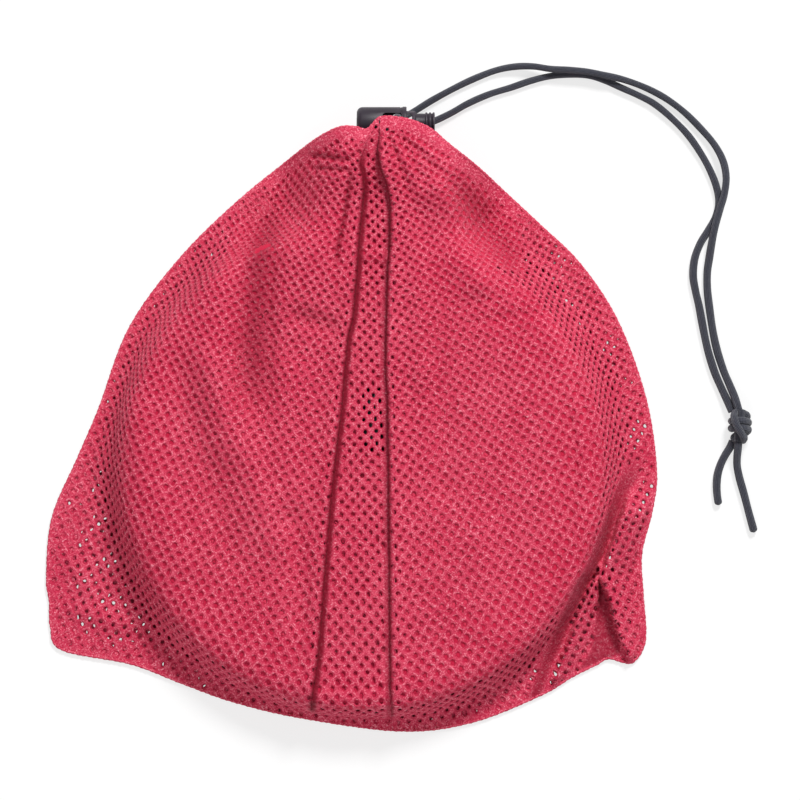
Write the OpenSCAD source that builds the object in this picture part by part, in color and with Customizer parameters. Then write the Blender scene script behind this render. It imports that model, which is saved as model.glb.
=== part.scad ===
// Compact roundnet set packed in its drawstring carry bag.
// The bag lies flat: +X to its right side, +Y towards the gathered mouth, +Z up from the ground.
// Inside it are a hoop folded into three turns, its net, legs, two flattened balls and a hand pump.

/* [Carry bag] */
// Thickness of the knitted mesh
mesh_t = 0.8; // [0.6:0.1:1.2]
// Thickness of the seam allowance that is turned inside
seam_t = 1.2; // [0.8:0.1:1.6]
// Room between the mesh and what it wraps
bag_gap = 0.4; // [0.3:0.1:0.8]
// Share of the free mesh at the edge that lies flat on the ground
flat_share = 0.4; // [0.3:0.05:0.5]

/* [Gathered mouth] */
// Distance from the folded hoop's edge to the cord lock's axis
mouth_reach = 49.75; // [46:0.25:56]
// Height of the mesh where it passes over the cord lock
lip_room = 5.3; // [5:0.1:8]
// Diameter of the hem that the drawcord runs in
hem_d = 8.4; // [7.6:0.2:9]
// Diameter of the tunnel in the hem
hem_bore_d = 5.2; // [5:0.1:5.6]
// Half width of the gathered hem, side to side
hem_half_w = 16; // [14:0.5:18]
// Half height of the gathered hem
hem_half_h = 10; // [9:0.5:11]
// Height of a ruffle on the hem
ruffle = 0.5; // [0.2:0.1:0.8]

/* [Drawcord] */
// Diameter of the braided drawcord
cord_d = 4; // [3.6:0.1:4]
// Clearance of a cord in the windows of the cord lock
cord_clear = 0.3; // [0.25:0.05:0.5]

/* [Cord lock] */
// Outer diameter of the barrel
barrel_d = 16; // [15.8:0.2:18]
// Length of the barrel without its domed end
barrel_len = 22.5; // [22:0.5:26]
// Length of the barrel's domed end
dome_len = 2.3; // [1.5:0.1:4]
// Thickness of the barrel's closed end
barrel_end_t = 2; // [1.6:0.1:2.4]
// Wall left between the window and the barrel's mouth
mouth_wall = 2.3; // [2:0.1:3]
// Height of the barrel's rim over its body
rim_step = 0.2; // [0.1:0.05:0.4]
// Length of the barrel's rim
rim_len = 1.8; // [1:0.1:2]
// Diameter of the plunger
plunger_d = 11.8; // [11.6:0.1:12]
// Clearance between the plunger and the barrel's bore
plunger_clear = 0.15; // [0.1:0.05:0.2]
// Travel of the plunger
travel = 5; // [4:0.25:5]
// Height of the cord lock's underside above the ground
lock_lift = 12; // [11.5:0.5:13]
// Diameter of the plunger's outer stem
stem_d = 9.2; // [8:0.2:10]
// Length of the plunger's ribbed head
head_len = 4.7; // [4:0.1:6]
// Wire diameter of the lock's spring
spring_wire = 0.8; // [0.6:0.1:0.9]
// Outer diameter of the lock's spring
spring_d = 8; // [7:0.2:8.2]

/* [Folded hoop] */
// Outer diameter of the hoop when it is folded into three turns
pack_d = 244; // [236:1:252]
// Diameter of the padded sleeve over the hoop
sleeve_d = 11.5; // [10.5:0.5:12]
// Gap between neighbouring turns of the sleeve
turn_gap = 0.8; // [0.5:0.1:1.2]
// Diameter of the spring steel wire
wire_d = 3; // [2.5:0.25:3.5]
// Diameter of the tunnel that the wire lies in
sleeve_bore = 6.6; // [6.4:0.1:7]
// Outer diameter of the ferrule that joins the wire's ends
ferrule_d = 5.8; // [5:0.1:5.8]
// Length of the ferrule
ferrule_len = 30; // [20:1:40]
// Width of the slit where the sleeve is sewn shut
sleeve_slit = 3; // [2:0.5:6]

/* [Net] */
// Thickness of the folded net
net_t = 3.6; // [2:0.2:4]
// Width of the binding tape round the net
binding_w = 4; // [3:0.5:6]
// Height of the folded binding tape
binding_h = 5; // [4.4:0.2:5.2]

/* [Legs] */
// Diameter of a leg's tube
leg_d = 9.4; // [8:0.2:9.6]
// Wall of a leg's tube
leg_wall = 1.2; // [0.8:0.1:1.6]
// Diameter of the rubber foot
foot_d = 10.2; // [10:0.1:10.6]
// Length of the rubber foot
foot_len = 11; // [8:0.5:14]
// Wall of the clip that snaps over the sleeve
clip_wall = 2; // [1.6:0.1:2.2]
// Height of the clip
clip_h = 9.6; // [8:0.2:10]
// Clearance of the clip on the sleeve
clip_clear = 0.2; // [0.1:0.05:0.4]
// Space between neighbouring legs
leg_gap = 0.4; // [0.3:0.1:0.8]

/* [Balls] */
// Thickness of a ball that has been let down and pressed flat
ball_t = 9; // [7:0.5:9]
// Depth of the dish in a flattened ball
ball_dish = 2; // [1:0.25:3]
// Diameter of the ball's valve
valve_d = 8; // [6:0.5:10]

/* [Hand pump] */
// Outer diameter of the pump's barrel
pump_d = 20; // [18:0.5:20]
// Wall of the pump's barrel
pump_wall = 1.6; // [1.2:0.1:2]
// Length of the pump's barrel
pump_len = 48; // [44:1:50]
// Diameter of the piston rod
rod_d = 6; // [5:0.5:7]
// Length of the T-handle, across the pump
handle_w = 32; // [28:1:34]
// Thickness of the T-handle
handle_t = 13; // [11:0.5:14]
// Thickness of the piston
piston_t = 6; // [5:0.5:8]
// Running clearance of the piston and rod
pump_clear = 0.3; // [0.2:0.05:0.4]
// Length of the inflation needle beyond its base
needle_len = 14; // [10:1:16]

/* [Hidden] */
$fn = 64;
leg_count = 5;
ball_count = 2;

mesh_red = [0.86, 0.25, 0.36];
mesh_deep_red = [0.72, 0.18, 0.29];
cord_black = [0.16, 0.16, 0.19];
plastic_black = [0.13, 0.12, 0.14];
sleeve_red = [0.70, 0.22, 0.30];
steel = [0.72, 0.73, 0.75];
rest_gap = 0.3;   // what lies loosely on a neighbour
eps = 0.01;

// ---- Folded hoop: three turns wound on a ring, so that it closes on itself ----
turns = 3;
rings_per_turn = 24;
tube_sides = 6;
wind_r = (sleeve_d + turn_gap) / sqrt(3);
bundle_r = wind_r + sleeve_d / 2;
pack_r = pack_d / 2;
hoop_r = pack_r - bundle_r;
inner_r = hoop_r - bundle_r;
floor_z = mesh_t + seam_t;
content_z = mesh_t + rest_gap;
hoop_z = content_z + bundle_r;
top_z = hoop_z + bundle_r + bag_gap + mesh_t;
shoulder_r = bundle_r + bag_gap + mesh_t;

// ---- Edge of the filled bag: [direction in degrees, free mesh beyond the hoop] ----
edge = [
    [0, 25], [14, 24], [30, 25.5], [43, 27.5], [54, 29], [67, 37], [77, 49], [84, 51.5],
    [91, 46.5], [101, 39], [114, 27], [131, 18], [149, 15], [167, 14], [178, 21.5], [189, 36],
    [199, 46.5], [207, 54], [211, 54.5], [220, 30.5], [230, 19], [241, 12], [256, 7], [278, 11],
    [293, 16.5], [308, 22.5], [316, 25.5], [321.5, 40], [325, 45.5], [330, 41.5], [336, 31.5],
    [343, 24], [352, 24.5]];
edge_steps = 3;

function polar(angle, r) = [r * cos(angle), r * sin(angle)];
function wrap(list, i) = list[(i + len(list)) % len(list)];
function spline(a, b, c, d, t) =
    0.5 * (2 * b + (c - a) * t + (2 * a - 5 * b + 4 * c - d) * t * t
           + (3 * b - a - 3 * c + d) * t * t * t);
edge_points = [for (e = edge) polar(e[0], pack_r + e[1])];
outline = [for (i = [0:len(edge) - 1]) for (s = [0:edge_steps - 1])
    spline(wrap(edge_points, i - 1), edge_points[i], wrap(edge_points, i + 1),
           wrap(edge_points, i + 2), s / edge_steps)];

// ---- The frame's origin is under the middle of the bag and its cord lock ----
barrel_r = barrel_d / 2;
outline_x = [for (p = outline) p.x];
outline_y = [for (p = outline) p.y];
pack_x = -(max(outline_x) + min(outline_x)) / 2;
pack_y = -(pack_r + mouth_reach + barrel_r + min(outline_y)) / 2;
pack = [pack_x, pack_y];

// ---- Cord lock ----
lock_y = pack_y + pack_r + mouth_reach;
lock_z = lock_lift + barrel_r;
strand_x = pack_x + 17;
strand_pitch = cord_d + 0.5;
window_h = strand_pitch + cord_d + 2 * (cord_clear + 0.05);
pinch_w = cord_d + 2 * cord_clear;
window_w = pinch_w + travel;
window_right = strand_x + pinch_w / 2;
barrel_x1 = window_right + mouth_wall;
barrel_x0 = barrel_x1 - barrel_len;
bore_x0 = barrel_x0 - dome_len + barrel_end_t;
plunger_x0 = bore_x0 + travel + rest_gap;
plunger_x1 = barrel_x1 + travel - 0.5;
stem_x1 = plunger_x1 + 4.8;
spring_pocket = 7;
spring_len = plunger_x0 + spring_pocket - bore_x0 - 2 * rest_gap;
spring_turns = 6;
lip_z = lock_z + barrel_r + lip_room + mesh_t;

// ---- Hem round the mouth ----
hem_y = lock_y - barrel_r - hem_d / 2 - ruffle - rest_gap;
hem_z = mesh_t + rest_gap + hem_d / 2 + hem_half_h + ruffle;
hem_x = strand_x - 1.4;
hem_open = 30;    // half angle of the gap in the hem where the cord comes out
cord_open = 26;   // half angle at which the cord turns away from the hem
neck_dir = 84.5;
neck_full = 8;
neck_fade = 15;

// ---- Swept tubes ----
function unit(v) = v / norm(v);
function tangents(p, start) = [for (i = [0:len(p) - 1])
    i == 0 && is_list(start) ? start : unit(p[min(i + 1, len(p) - 1)] - p[max(i - 1, 0)])];
function carry(t, u, i = 0, done = []) =
    i == len(t) ? done
    : let (v = u - t[i] * (t[i] * u), w = unit(v)) carry(t, w, i + 1, concat(done, [w]));
function ring(c, t, u, r, sides) =
    let (v = cross(t, u)) [for (k = [0:sides - 1]) c + r * (cos(360 * k / sides) * u + sin(360 * k / sides) * v)];
function tube_points(p, r, sides, up, start = undef) =
    let (t = tangents(p, start), u = carry(t, up))
    [for (i = [0:len(p) - 1]) each ring(p[i], t[i], u[i], is_list(r) ? r[i] : r, sides)];
function quad(a, b, c, d) = [[a, b, c], [a, c, d]];
function wall_faces(rings, sides, base = 0, closed = false) =
    [for (i = [0:rings - (closed ? 1 : 2)]) for (k = [0:sides - 1])
        let (j = (i + 1) % rings, m = (k + 1) % sides)
        each quad(base + i * sides + k, base + j * sides + k, base + j * sides + m, base + i * sides + m)];
function turned(faces) = [for (f = faces) [f[2], f[1], f[0]]];

// A solid tube along open points. start is its direction at the first point, if that is set.
module tube(p, r, sides = 8, up = [0, 0, 1], start = undef) {
    n = len(p);
    caps = [for (k = [1:sides - 2]) each [[0, k, k + 1],
            [(n - 1) * sides, (n - 1) * sides + k + 1, (n - 1) * sides + k]]];
    polyhedron(tube_points(p, r, sides, up, start), concat(wall_faces(n, sides), caps));
}

// A pipe along open points, with flat ends.
module pipe(p, r_out, r_in, sides = 8, up = [0, 0, 1]) {
    n = len(p);
    inner = n * sides;
    ends = [for (k = [0:sides - 1]) let (m = (k + 1) % sides, last = (n - 1) * sides)
        each concat(quad(k, m, inner + m, inner + k),
                    quad(last + m, last + k, inner + last + k, inner + last + m))];
    polyhedron(concat(tube_points(p, r_out, sides, up), tube_points(p, r_in, sides, up)),
               concat(wall_faces(n, sides), turned(wall_faces(n, sides, inner)), ends));
}

// Centre line of the folded hoop at an angle from 0 to 1080 degrees.
function hoop_at(a) =
    let (b = a / turns + 90, r = hoop_r + wind_r * cos(b))
    [pack_x + r * cos(a), pack_y + r * sin(a), hoop_z + wind_r * sin(b)];
hoop_rings = turns * rings_per_turn;
hoop_step = 360 / rings_per_turn;
function hoop_ring(a, r) =
    let (out = [cos(a), sin(a), 0])
    [for (k = [0:tube_sides - 1])
        hoop_at(a) + r * (cos(360 * k / tube_sides) * out + sin(360 * k / tube_sides) * [0, 0, 1])];
least_turn_gap = min([for (a = [0:hoop_step:360 - hoop_step]) for (k = [1:turns - 1])
    norm(hoop_at(a) - hoop_at(a + 360 * k))]) - sleeve_d;
echo(least_gap_between_turns = least_turn_gap);

// ================= Carry bag =================
// Profile of the front panel along one direction, outer face: [distance from the pack's centre, height]
shoulder_angles = [90, 66, 48];
fall_steps = [0, 0.25, 0.5, 0.75, 1];
function clamp(x, low, high) = min(max(x, low), high);
function ease(x) = let (t = clamp(x, 0, 1)) t * t * (3 - 2 * t);
function bezier(a, b, c, t) = (1 - t) * (1 - t) * a + 2 * t * (1 - t) * b + t * t * c;
function neck_share(angle) = 1 - ease((abs(angle - neck_dir) - neck_full) / neck_fade);
function mix(a, b, s) = a * (1 - s) + b * s;
function fall(out_r) =
    let (slack = out_r - pack_r,
         leave = clamp((slack - 8) * 2, 0, 38),
         start = [hoop_r + shoulder_r * cos(leave), hoop_z + shoulder_r * sin(leave)],
         land = [mix(hoop_r + shoulder_r, out_r, 1 - flat_share), floor_z + mesh_t],
         drop = start[1] - land[1],
         reach = min(0.8 * drop / cos(leave), 0.9 * (land[0] - start[0]) / max(sin(leave), 0.01)),
         bend = start + reach * [sin(leave), -cos(leave)])
    [for (t = fall_steps) bezier(start, bend, land, t)];
function drape(angle, out_r) =
    let (s = neck_share(angle), low = fall(out_r),
         over = [for (t = fall_steps)
             [mix(hoop_r + shoulder_r, out_r - 4, t), mix(top_z, lip_z, ease((t - 0.15) / 0.5))]],
         rim = mix(floor_z + mesh_t, lip_z, s))
    concat(
        [[0.45 * hoop_r, top_z], [0.8 * hoop_r, top_z]],
        [for (b = shoulder_angles) [hoop_r + shoulder_r * cos(b),
            mix(hoop_z + shoulder_r * sin(b), top_z, s)]],
        [for (i = [0:len(low) - 1]) mix(low[i], over[i], s)],
        [[out_r, rim]]);
function inward(profile) = [for (i = [0:len(profile) - 1])
    let (d = unit(profile[min(i + 1, len(profile) - 1)] - profile[max(i - 1, 0)]))
    profile[i] + mesh_t * [i == len(profile) - 1 ? 0 : d[1], -(i == len(profile) - 1 ? 1 : d[0])]];

module bag_front_panel() {
    rays = len(outline);
    profiles = [for (p = outline) drape(atan2(p.y, p.x), norm(p))];
    rows = len(profiles[0]);
    function lay(list) = [for (j = [0:rows - 1]) for (i = [0:rays - 1])
        let (q = unit(outline[i]) * list[i][j][0]) [pack_x + q.x, pack_y + q.y, list[i][j][1]]];
    outer = lay(profiles);
    inner = lay([for (p = profiles) inward(p)]);
    n = rays * rows;
    centre = [[pack_x, pack_y, top_z], [pack_x, pack_y, top_z - mesh_t]];
    skin = wall_faces(rows, rays);
    crown = [for (i = [0:rays - 1]) [2 * n, (i + 1) % rays, i]];
    hollow = [for (i = [0:rays - 1]) [2 * n + 1, n + i, n + (i + 1) % rays]];
    rim = [for (i = [0:rays - 1]) let (m = (i + 1) % rays, last = (rows - 1) * rays)
        each quad(last + i, last + m, n + last + m, n + last + i)];
    color(mesh_red)
        polyhedron(concat(outer, inner, centre),
                   concat(turned(skin), wall_faces(rows, rays, n), crown, hollow, rim));
}

module bag_back_panel()
    color(mesh_deep_red) translate([pack_x, pack_y, 0]) linear_extrude(mesh_t) polygon(outline);

// The allowance follows the sides and the base, and stops short of the mouth.
seam_inner = [for (p = outline)
    unit(p) * mix(hoop_r + shoulder_r, norm(p), 1 - 0.85 * flat_share)];
seam_rim = [for (p = outline) unit(p) * (norm(p) - rest_gap)];
mouth_half = neck_full + neck_fade;

module bag_edge_seam()
    color(mesh_deep_red) translate([pack_x, pack_y, mesh_t]) linear_extrude(seam_t) difference() {
        polygon(seam_rim);
        polygon(seam_inner);
        polygon([[0, 0], polar(neck_dir - mouth_half, 2 * pack_d), polar(neck_dir + mouth_half, 2 * pack_d)]);
    }

// ================= Drawcord =================
function hem_at(a, half_w, half_h) = [hem_x + half_w * sin(a), hem_y, hem_z + half_h * cos(a)];
hem_steps = 40;
cord_steps = 16;
hem_angles = [for (i = [0:hem_steps]) hem_open + (360 - 2 * hem_open) * i / hem_steps];

module drawcord_hem() {
    path = [for (a = hem_angles) hem_at(a, hem_half_w, hem_half_h)];
    radii = [for (i = [0:hem_steps]) hem_d / 2 + (i % 2 == 0 ? 0 : ruffle)];
    color(mesh_red) pipe(path, radii, hem_bore_d / 2, 10, [0, 1, 0]);
}

outer_y = lock_y + strand_pitch / 2;
inner_y = lock_y - strand_pitch / 2;
window_top = lock_z + barrel_r;
// From under the lock, up through its window, round the hem and back down.
function in_hem_route() =
    let (first = hem_at(-cord_open, hem_half_w, hem_half_h), last = hem_at(cord_open, hem_half_w, hem_half_h))
    concat(
        [[strand_x, outer_y, lock_lift], [strand_x, outer_y, lock_z], [strand_x, outer_y, window_top - 1.5],
         [strand_x - 0.5, outer_y - 0.8, window_top + 1.3], [strand_x - 2, outer_y - 3.4, window_top + 2.9],
         [strand_x - 4, outer_y - 6.8, window_top + 2.9], [strand_x - 5.8, outer_y - 10.4, window_top + 1.8],
         [first.x + 1.4, first.y + 2, first.z + 1.6]],
        [for (i = [0:cord_steps]) hem_at(-cord_open - (360 - 2 * cord_open) * i / cord_steps, hem_half_w, hem_half_h)],
        [[last.x - 0.8, last.y + 2, last.z + 1.6], [strand_x + 3.8, inner_y - 6.2, window_top + 1.3],
         [strand_x + 2, inner_y - 3.3, window_top + 1.8], [strand_x + 0.6, inner_y - 1.1, window_top + 0.5],
         [strand_x, inner_y, window_top - 2], [strand_x, inner_y, lock_z], [strand_x, inner_y, lock_lift]]);

module drawcord_in_hem()
    color(cord_black) tube(in_hem_route(), cord_d / 2, 8, [1, 0, 0]);

// The free strands, from under the lock to the knot.
outer_route = concat(
    [[strand_x, outer_y, lock_lift], [strand_x + 1.15, outer_y + 0.65, lock_lift - 4.95],
     [strand_x + 4.3, outer_y + 2.4, lock_lift - 8.57], [strand_x + 8.6, outer_y + 4.8, lock_lift - 9.9]],
    [[40.5, 160.2, 2.1], [51.5, 166.2, 2.1], [62, 171.2, 2.1], [72.5, 175.2, 2.2],
     [82, 177, 3], [91, 177, 4.4], [100, 175.6, 5.8], [109.5, 175, 6.3], [118, 174.2, 6.3],
     [126, 172.6, 6.1], [134.5, 170.8, 4.8], [143, 168.2, 3], [151, 164.8, 2.2], [159, 160.2, 2.1],
     [167.5, 153.6, 2.1], [176, 145, 2.2], [182, 137.6, 3.2], [186, 129.6, 4.8], [187.4, 121.2, 6.2],
     [186.4, 113, 6.5], [184.4, 106.4, 6.5], [182.6, 100, 6.5], [181.2, 94, 6.1], [180.2, 88, 4.6],
     [179.2, 81, 2.8], [178.3, 74.2, 2.1], [178.3, 66, 2.1], [179.2, 57.5, 2.1], [181, 45.2, 2.1],
     [183.2, 35, 2.1], [186.4, 25, 2.3], [189.4, 17.6, 3.6], [192, 10.8, 5.4], [193.7, 4.8, 6.7]]);
inner_route = concat(
    [[strand_x, inner_y, lock_lift], [strand_x + 1.19, inner_y + 0.26, lock_lift - 4.55],
     [strand_x + 4.45, inner_y + 0.96, lock_lift - 7.88], [strand_x + 8.9, inner_y + 1.9, lock_lift - 9.1]],
    [[41, 149.6, 2.8], [50, 153.8, 2.3], [58.5, 158.6, 2.1], [69, 163.2, 2.1],
     [80, 166.6, 2.1], [90, 170, 2.1], [100, 172.4, 2.1], [110, 173.2, 2.1], [119, 172.6, 2.1],
     [127.5, 170, 2.1], [136, 166.2, 2.1], [144, 162.6, 2.1], [151.5, 158.6, 2.1], [159.5, 152.2, 2.1],
     [168, 143.6, 2.1], [174.2, 135, 2.1], [179.2, 126.2, 2.1], [182.8, 117.2, 2.1], [184, 109, 2.1],
     [182.4, 101.5, 2.1], [178.8, 95, 2.1], [174.8, 88.6, 2.1], [172, 81, 2.1], [171.2, 72.6, 2.1],
     [172.4, 64.8, 2.1], [174.2, 57, 2.1], [176.4, 45.2, 2.1], [178.6, 35, 2.1], [181.8, 24.6, 2.1],
     [185, 17, 2.2], [188, 10.4, 2.9], [190.6, 4.5, 3.8]]);
long_tail_route = [[193.4, -10.4, 7.6], [193.2, -14.4, 6.6], [193, -18.6, 4.4], [193.2, -23, 2.7],
    [194.4, -28.8, 2.1], [196.7, -37, 2.1], [199.2, -46.6, 2.1], [201.8, -56, 2.1]];
short_tail_route = [[190.9, -10.4, 4], [189.6, -13.4, 3.4], [187.4, -17, 2.6], [185.2, -21.4, 2.1],
    [183.6, -26.4, 2.1], [183, -31.6, 2.1], [183.2, -37, 2.1], [184, -42.4, 2.1]];

module free_cord(route, start = undef)
    color(cord_black) tube(route, cord_d / 2, 8, [1, 0, 0], start);
module drawcord_outer_strand() free_cord(outer_route, [0, 0, -1]);
module drawcord_inner_strand() free_cord(inner_route, [0, 0, -1]);
module drawcord_long_tail() free_cord(long_tail_route, [0.1, -1, 0]);
module drawcord_short_tail() free_cord(short_tail_route, [0.1, -1, 0]);

// An overhand knot of both strands: two wraps round a core that lies between them.
knot = [194.2, -3, 6.4];
knot_tilt = -84;
knot_wraps = [-3.8, 0.2, 4.2];
module drawcord_knot()
    color(cord_black) translate(knot) rotate([0, 0, knot_tilt]) rotate([0, 90, 0]) {
        translate([0, 0, -7]) cylinder(h = 14, r = cord_d * 1.1, $fn = 32);
        for (z = knot_wraps)
            translate([0, 0, z]) rotate_extrude($fn = 32) translate([cord_d, 0]) circle(r = cord_d / 2, $fn = 24);
    }

// ================= Cord lock =================
module along_x(x, y, z) translate([x, y, z]) rotate([0, 90, 0]) children();
module rounded(w, h, r) {
    square([w - 2 * r, h], center = true);
    square([w, h - 2 * r], center = true);
    for (x = [-1, 1], y = [-1, 1]) translate([x * (w / 2 - r), y * (h / 2 - r)]) circle(r = r, $fn = 24);
}
module cord_window(x0, x1)
    translate([(x0 + x1) / 2, lock_y, lock_z - barrel_d]) linear_extrude(2 * barrel_d) rounded(x1 - x0, window_h, 1.5);

module lock_barrel()
    color(plastic_black) difference() {
        union() {
            along_x(barrel_x0, lock_y, lock_z) cylinder(h = barrel_len, r = barrel_r - rim_step);
            along_x(barrel_x1 - rim_len, lock_y, lock_z) cylinder(h = rim_len, r = barrel_r);
            along_x(barrel_x0 - dome_len, lock_y, lock_z)
                cylinder(h = dome_len + eps, r1 = barrel_r / 3, r2 = barrel_r - rim_step);
        }
        along_x(bore_x0, lock_y, lock_z) cylinder(h = barrel_len + dome_len, d = plunger_d + 2 * plunger_clear);
        cord_window(window_right - window_w, window_right);
    }

module lock_plunger()
    color(plastic_black) difference() {
        union() {
            along_x(plunger_x0, lock_y, lock_z) cylinder(h = plunger_x1 - plunger_x0, d = plunger_d);
            along_x(plunger_x1 - eps, lock_y, lock_z) cylinder(h = stem_x1 - plunger_x1 + 2 * eps, d = stem_d);
            for (i = [0:2])
                along_x(stem_x1 + i * head_len / 2.6, lock_y, lock_z) cylinder(h = head_len / 4.6, d = stem_d + 1.2);
            along_x(stem_x1, lock_y, lock_z) cylinder(h = head_len, d = stem_d);
        }
        along_x(plunger_x0 - eps, lock_y, lock_z) cylinder(h = spring_pocket + eps, d = spring_d + 0.8);
        cord_window(window_right - pinch_w, window_right + travel);
    }

module lock_spring() {
    r = (spring_d - spring_wire) / 2;
    steps = spring_turns * 8;
    length = spring_len - spring_wire;
    path = [for (i = [0:steps]) let (a = 45 * i)
        [bore_x0 + rest_gap + spring_wire / 2 + length * i / steps, lock_y + r * cos(a), lock_z + r * sin(a)]];
    color(steel) tube(path, spring_wire / 2, 6, [1, 0, 0]);
}

// ================= Folded hoop and net =================
turn_end = hoop_rings * hoop_step;
chord_len = 2 * hoop_r * sin(hoop_step / 2);
ferrule_share = ferrule_len / 2 / chord_len;
slit_share = sleeve_slit / 2 / chord_len;
// A ring between two neighbouring rings of the hoop, so that all its layers share their chords.
function chord_ring(a, b, share, r) = mix(hoop_ring(a, r), hoop_ring(b, r), share);

module hoop_shell(outer, inner) {
    n = len(outer);
    base = n * tube_sides;
    last = base - tube_sides;
    ends = [for (k = [0:tube_sides - 1]) let (m = (k + 1) % tube_sides)
        each concat(quad(k, m, base + m, base + k), quad(last + m, last + k, base + last + k, base + last + m))];
    polyhedron([for (ring_points = concat(outer, inner)) each ring_points],
        turned(concat(wall_faces(n, tube_sides), turned(wall_faces(n, tube_sides, base)), ends)));
}
function sleeve_rings(r) = concat(
    [chord_ring(0, hoop_step, slit_share, r)],
    [for (i = [1:hoop_rings - 1]) hoop_ring(i * hoop_step, r)],
    [chord_ring(turn_end, turn_end - hoop_step, slit_share, r)]);
function ferrule_rings(r) = [
    chord_ring(turn_end, turn_end - hoop_step, ferrule_share, r), hoop_ring(0, r),
    chord_ring(0, hoop_step, ferrule_share, r)];

module hoop_wire()
    color(steel) polyhedron([for (i = [0:hoop_rings - 1]) each hoop_ring(i * hoop_step, wire_d / 2)],
                            turned(wall_faces(hoop_rings, tube_sides, 0, true)));
module hoop_ferrule()
    color(steel) hoop_shell(ferrule_rings(ferrule_d / 2), ferrule_rings(wire_d / 2 + 0.1));
module hoop_sleeve()
    color(sleeve_red) hoop_shell(sleeve_rings(sleeve_d / 2), sleeve_rings(sleeve_bore / 2));

binding_r = inner_r - rest_gap;
stored_r = binding_r - binding_w;
pump_dy = 25;
trough_half = handle_w / 2 + 1 + net_t;
ball_line = pump_dy - trough_half - rest_gap;
legs_top = content_z + ball_t + rest_gap + max(foot_d, clip_h);
net_top = legs_top + rest_gap + net_t;
module pack_at(z) translate([pack_x, pack_y, z]) children();

// The net lies over the legs and balls, and dips down to the bag's floor to take the pump.
module folded_net()
    color(mesh_red) intersection() {
        pack_at(content_z) cylinder(h = net_top - content_z, r = stored_r - rest_gap, $fn = 96);
        translate([pack_x - pack_r, pack_y + pump_dy, 0]) rotate([90, 0, 90]) linear_extrude(pack_d)
            polygon([[-pack_d, net_top], [-pack_d, net_top - net_t], [-trough_half, net_top - net_t],
                     [-trough_half, content_z], [trough_half, content_z], [trough_half, net_top - net_t],
                     [pack_d, net_top - net_t], [pack_d, net_top], [trough_half - net_t, net_top],
                     [trough_half - net_t, content_z + net_t], [net_t - trough_half, content_z + net_t],
                     [net_t - trough_half, net_top]]);
    }
module net_binding()
    color(sleeve_red) pack_at(net_top - binding_h) rotate_extrude($fn = 96)
        translate([binding_r - binding_w, 0]) square([binding_w, binding_h]);

// ================= Loose pieces under the net =================
// The pump lies across the pack in the net's trough, and the balls and legs fill the nearer side.
pump_r = pump_d / 2;
pump_y = pack_y + pump_dy;
pump_z = content_z + net_t + rest_gap + pump_r;
nozzle_len = 5;
needle_base = 6;
needle_base_r = 3.5;
handle_gap = 2;
cap_t = 4;
needle_tip = pack_x + sqrt(pow(inner_r - 1, 2) - pow(pump_dy + needle_base_r, 2));
pump_x1 = needle_tip - needle_len - needle_base - nozzle_len - rest_gap;
pump_x0 = pump_x1 - pump_len;
cap_x0 = pump_x0 - cap_t;
handle_x0 = cap_x0 - handle_gap - handle_t;
pump_bore_r = pump_r - pump_wall;

pump_end_t = 3;
module pump_barrel()
    color(sleeve_red) difference() {
        union() {
            along_x(pump_x0, pump_y, pump_z) cylinder(h = pump_len, r = pump_r);
            along_x(pump_x1 - eps, pump_y, pump_z) cylinder(h = nozzle_len, r = 4);
        }
        along_x(pump_x0 - eps, pump_y, pump_z) cylinder(h = pump_len - pump_end_t, r = pump_bore_r);
        along_x(pump_x1 - pump_end_t - 1, pump_y, pump_z) cylinder(h = pump_end_t + nozzle_len + 2, r = 1.5);
    }
module pump_cap()
    color(plastic_black) difference() {
        union() {
            along_x(cap_x0, pump_y, pump_z) cylinder(h = cap_t, r = pump_r);
            along_x(pump_x0 - eps, pump_y, pump_z) cylinder(h = 1.5, r = pump_bore_r - 0.1);
        }
        along_x(cap_x0 - 1, pump_y, pump_z) cylinder(h = cap_t + 4, r = rod_d / 2 + pump_clear);
    }
piston_end = pump_x1 - pump_end_t - 2;
module pump_rod()
    color(steel) along_x(handle_x0 + handle_t / 2, pump_y, pump_z)
        cylinder(h = piston_end - piston_t / 2 - handle_x0 - handle_t / 2, d = rod_d);
module pump_handle()
    color(plastic_black) translate([handle_x0 + handle_t / 2, pump_y, pump_z]) difference() {
        union() {
            translate([0, -handle_w / 2 + handle_t / 2, 0]) rotate([-90, 0, 0]) cylinder(h = handle_w - handle_t, d = handle_t);
            for (s = [-1, 1]) translate([0, s * (handle_w - handle_t) / 2, 0]) sphere(d = handle_t);
        }
        rotate([0, 90, 0]) cylinder(h = handle_t, d = rod_d);
    }
module pump_piston()
    color(plastic_black) difference() {
        along_x(piston_end - piston_t, pump_y, pump_z) cylinder(h = piston_t, r = pump_bore_r - pump_clear);
        along_x(piston_end - piston_t - eps, pump_y, pump_z) cylinder(h = piston_t / 2 + eps, d = rod_d);
        along_x(piston_end - piston_t * 0.7, pump_y, pump_z) difference() {
            cylinder(h = piston_t * 0.4, r = pump_r);
            translate([0, 0, -1]) cylinder(h = piston_t, r = pump_bore_r - 1.6);
        }
    }
module pump_seal()
    color([0.2, 0.2, 0.2]) along_x(piston_end - piston_t * 0.5, pump_y, pump_z)
        rotate_extrude() translate([pump_bore_r - 0.85, 0]) circle(r = 0.7, $fn = 24);
module inflation_needle()
    color(steel) difference() {
        union() {
            along_x(needle_tip - needle_len - needle_base, pump_y, pump_z)
                cylinder(h = needle_base, r = needle_base_r, $fn = 6);
            along_x(needle_tip - needle_len - eps, pump_y, pump_z)
                cylinder(h = needle_len + eps, r = 1.1, $fn = 24);
        }
        along_x(needle_tip - needle_len - needle_base - 1, pump_y, pump_z)
            cylinder(h = needle_len + needle_base + 2, r = 0.5, $fn = 24);
    }

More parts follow.
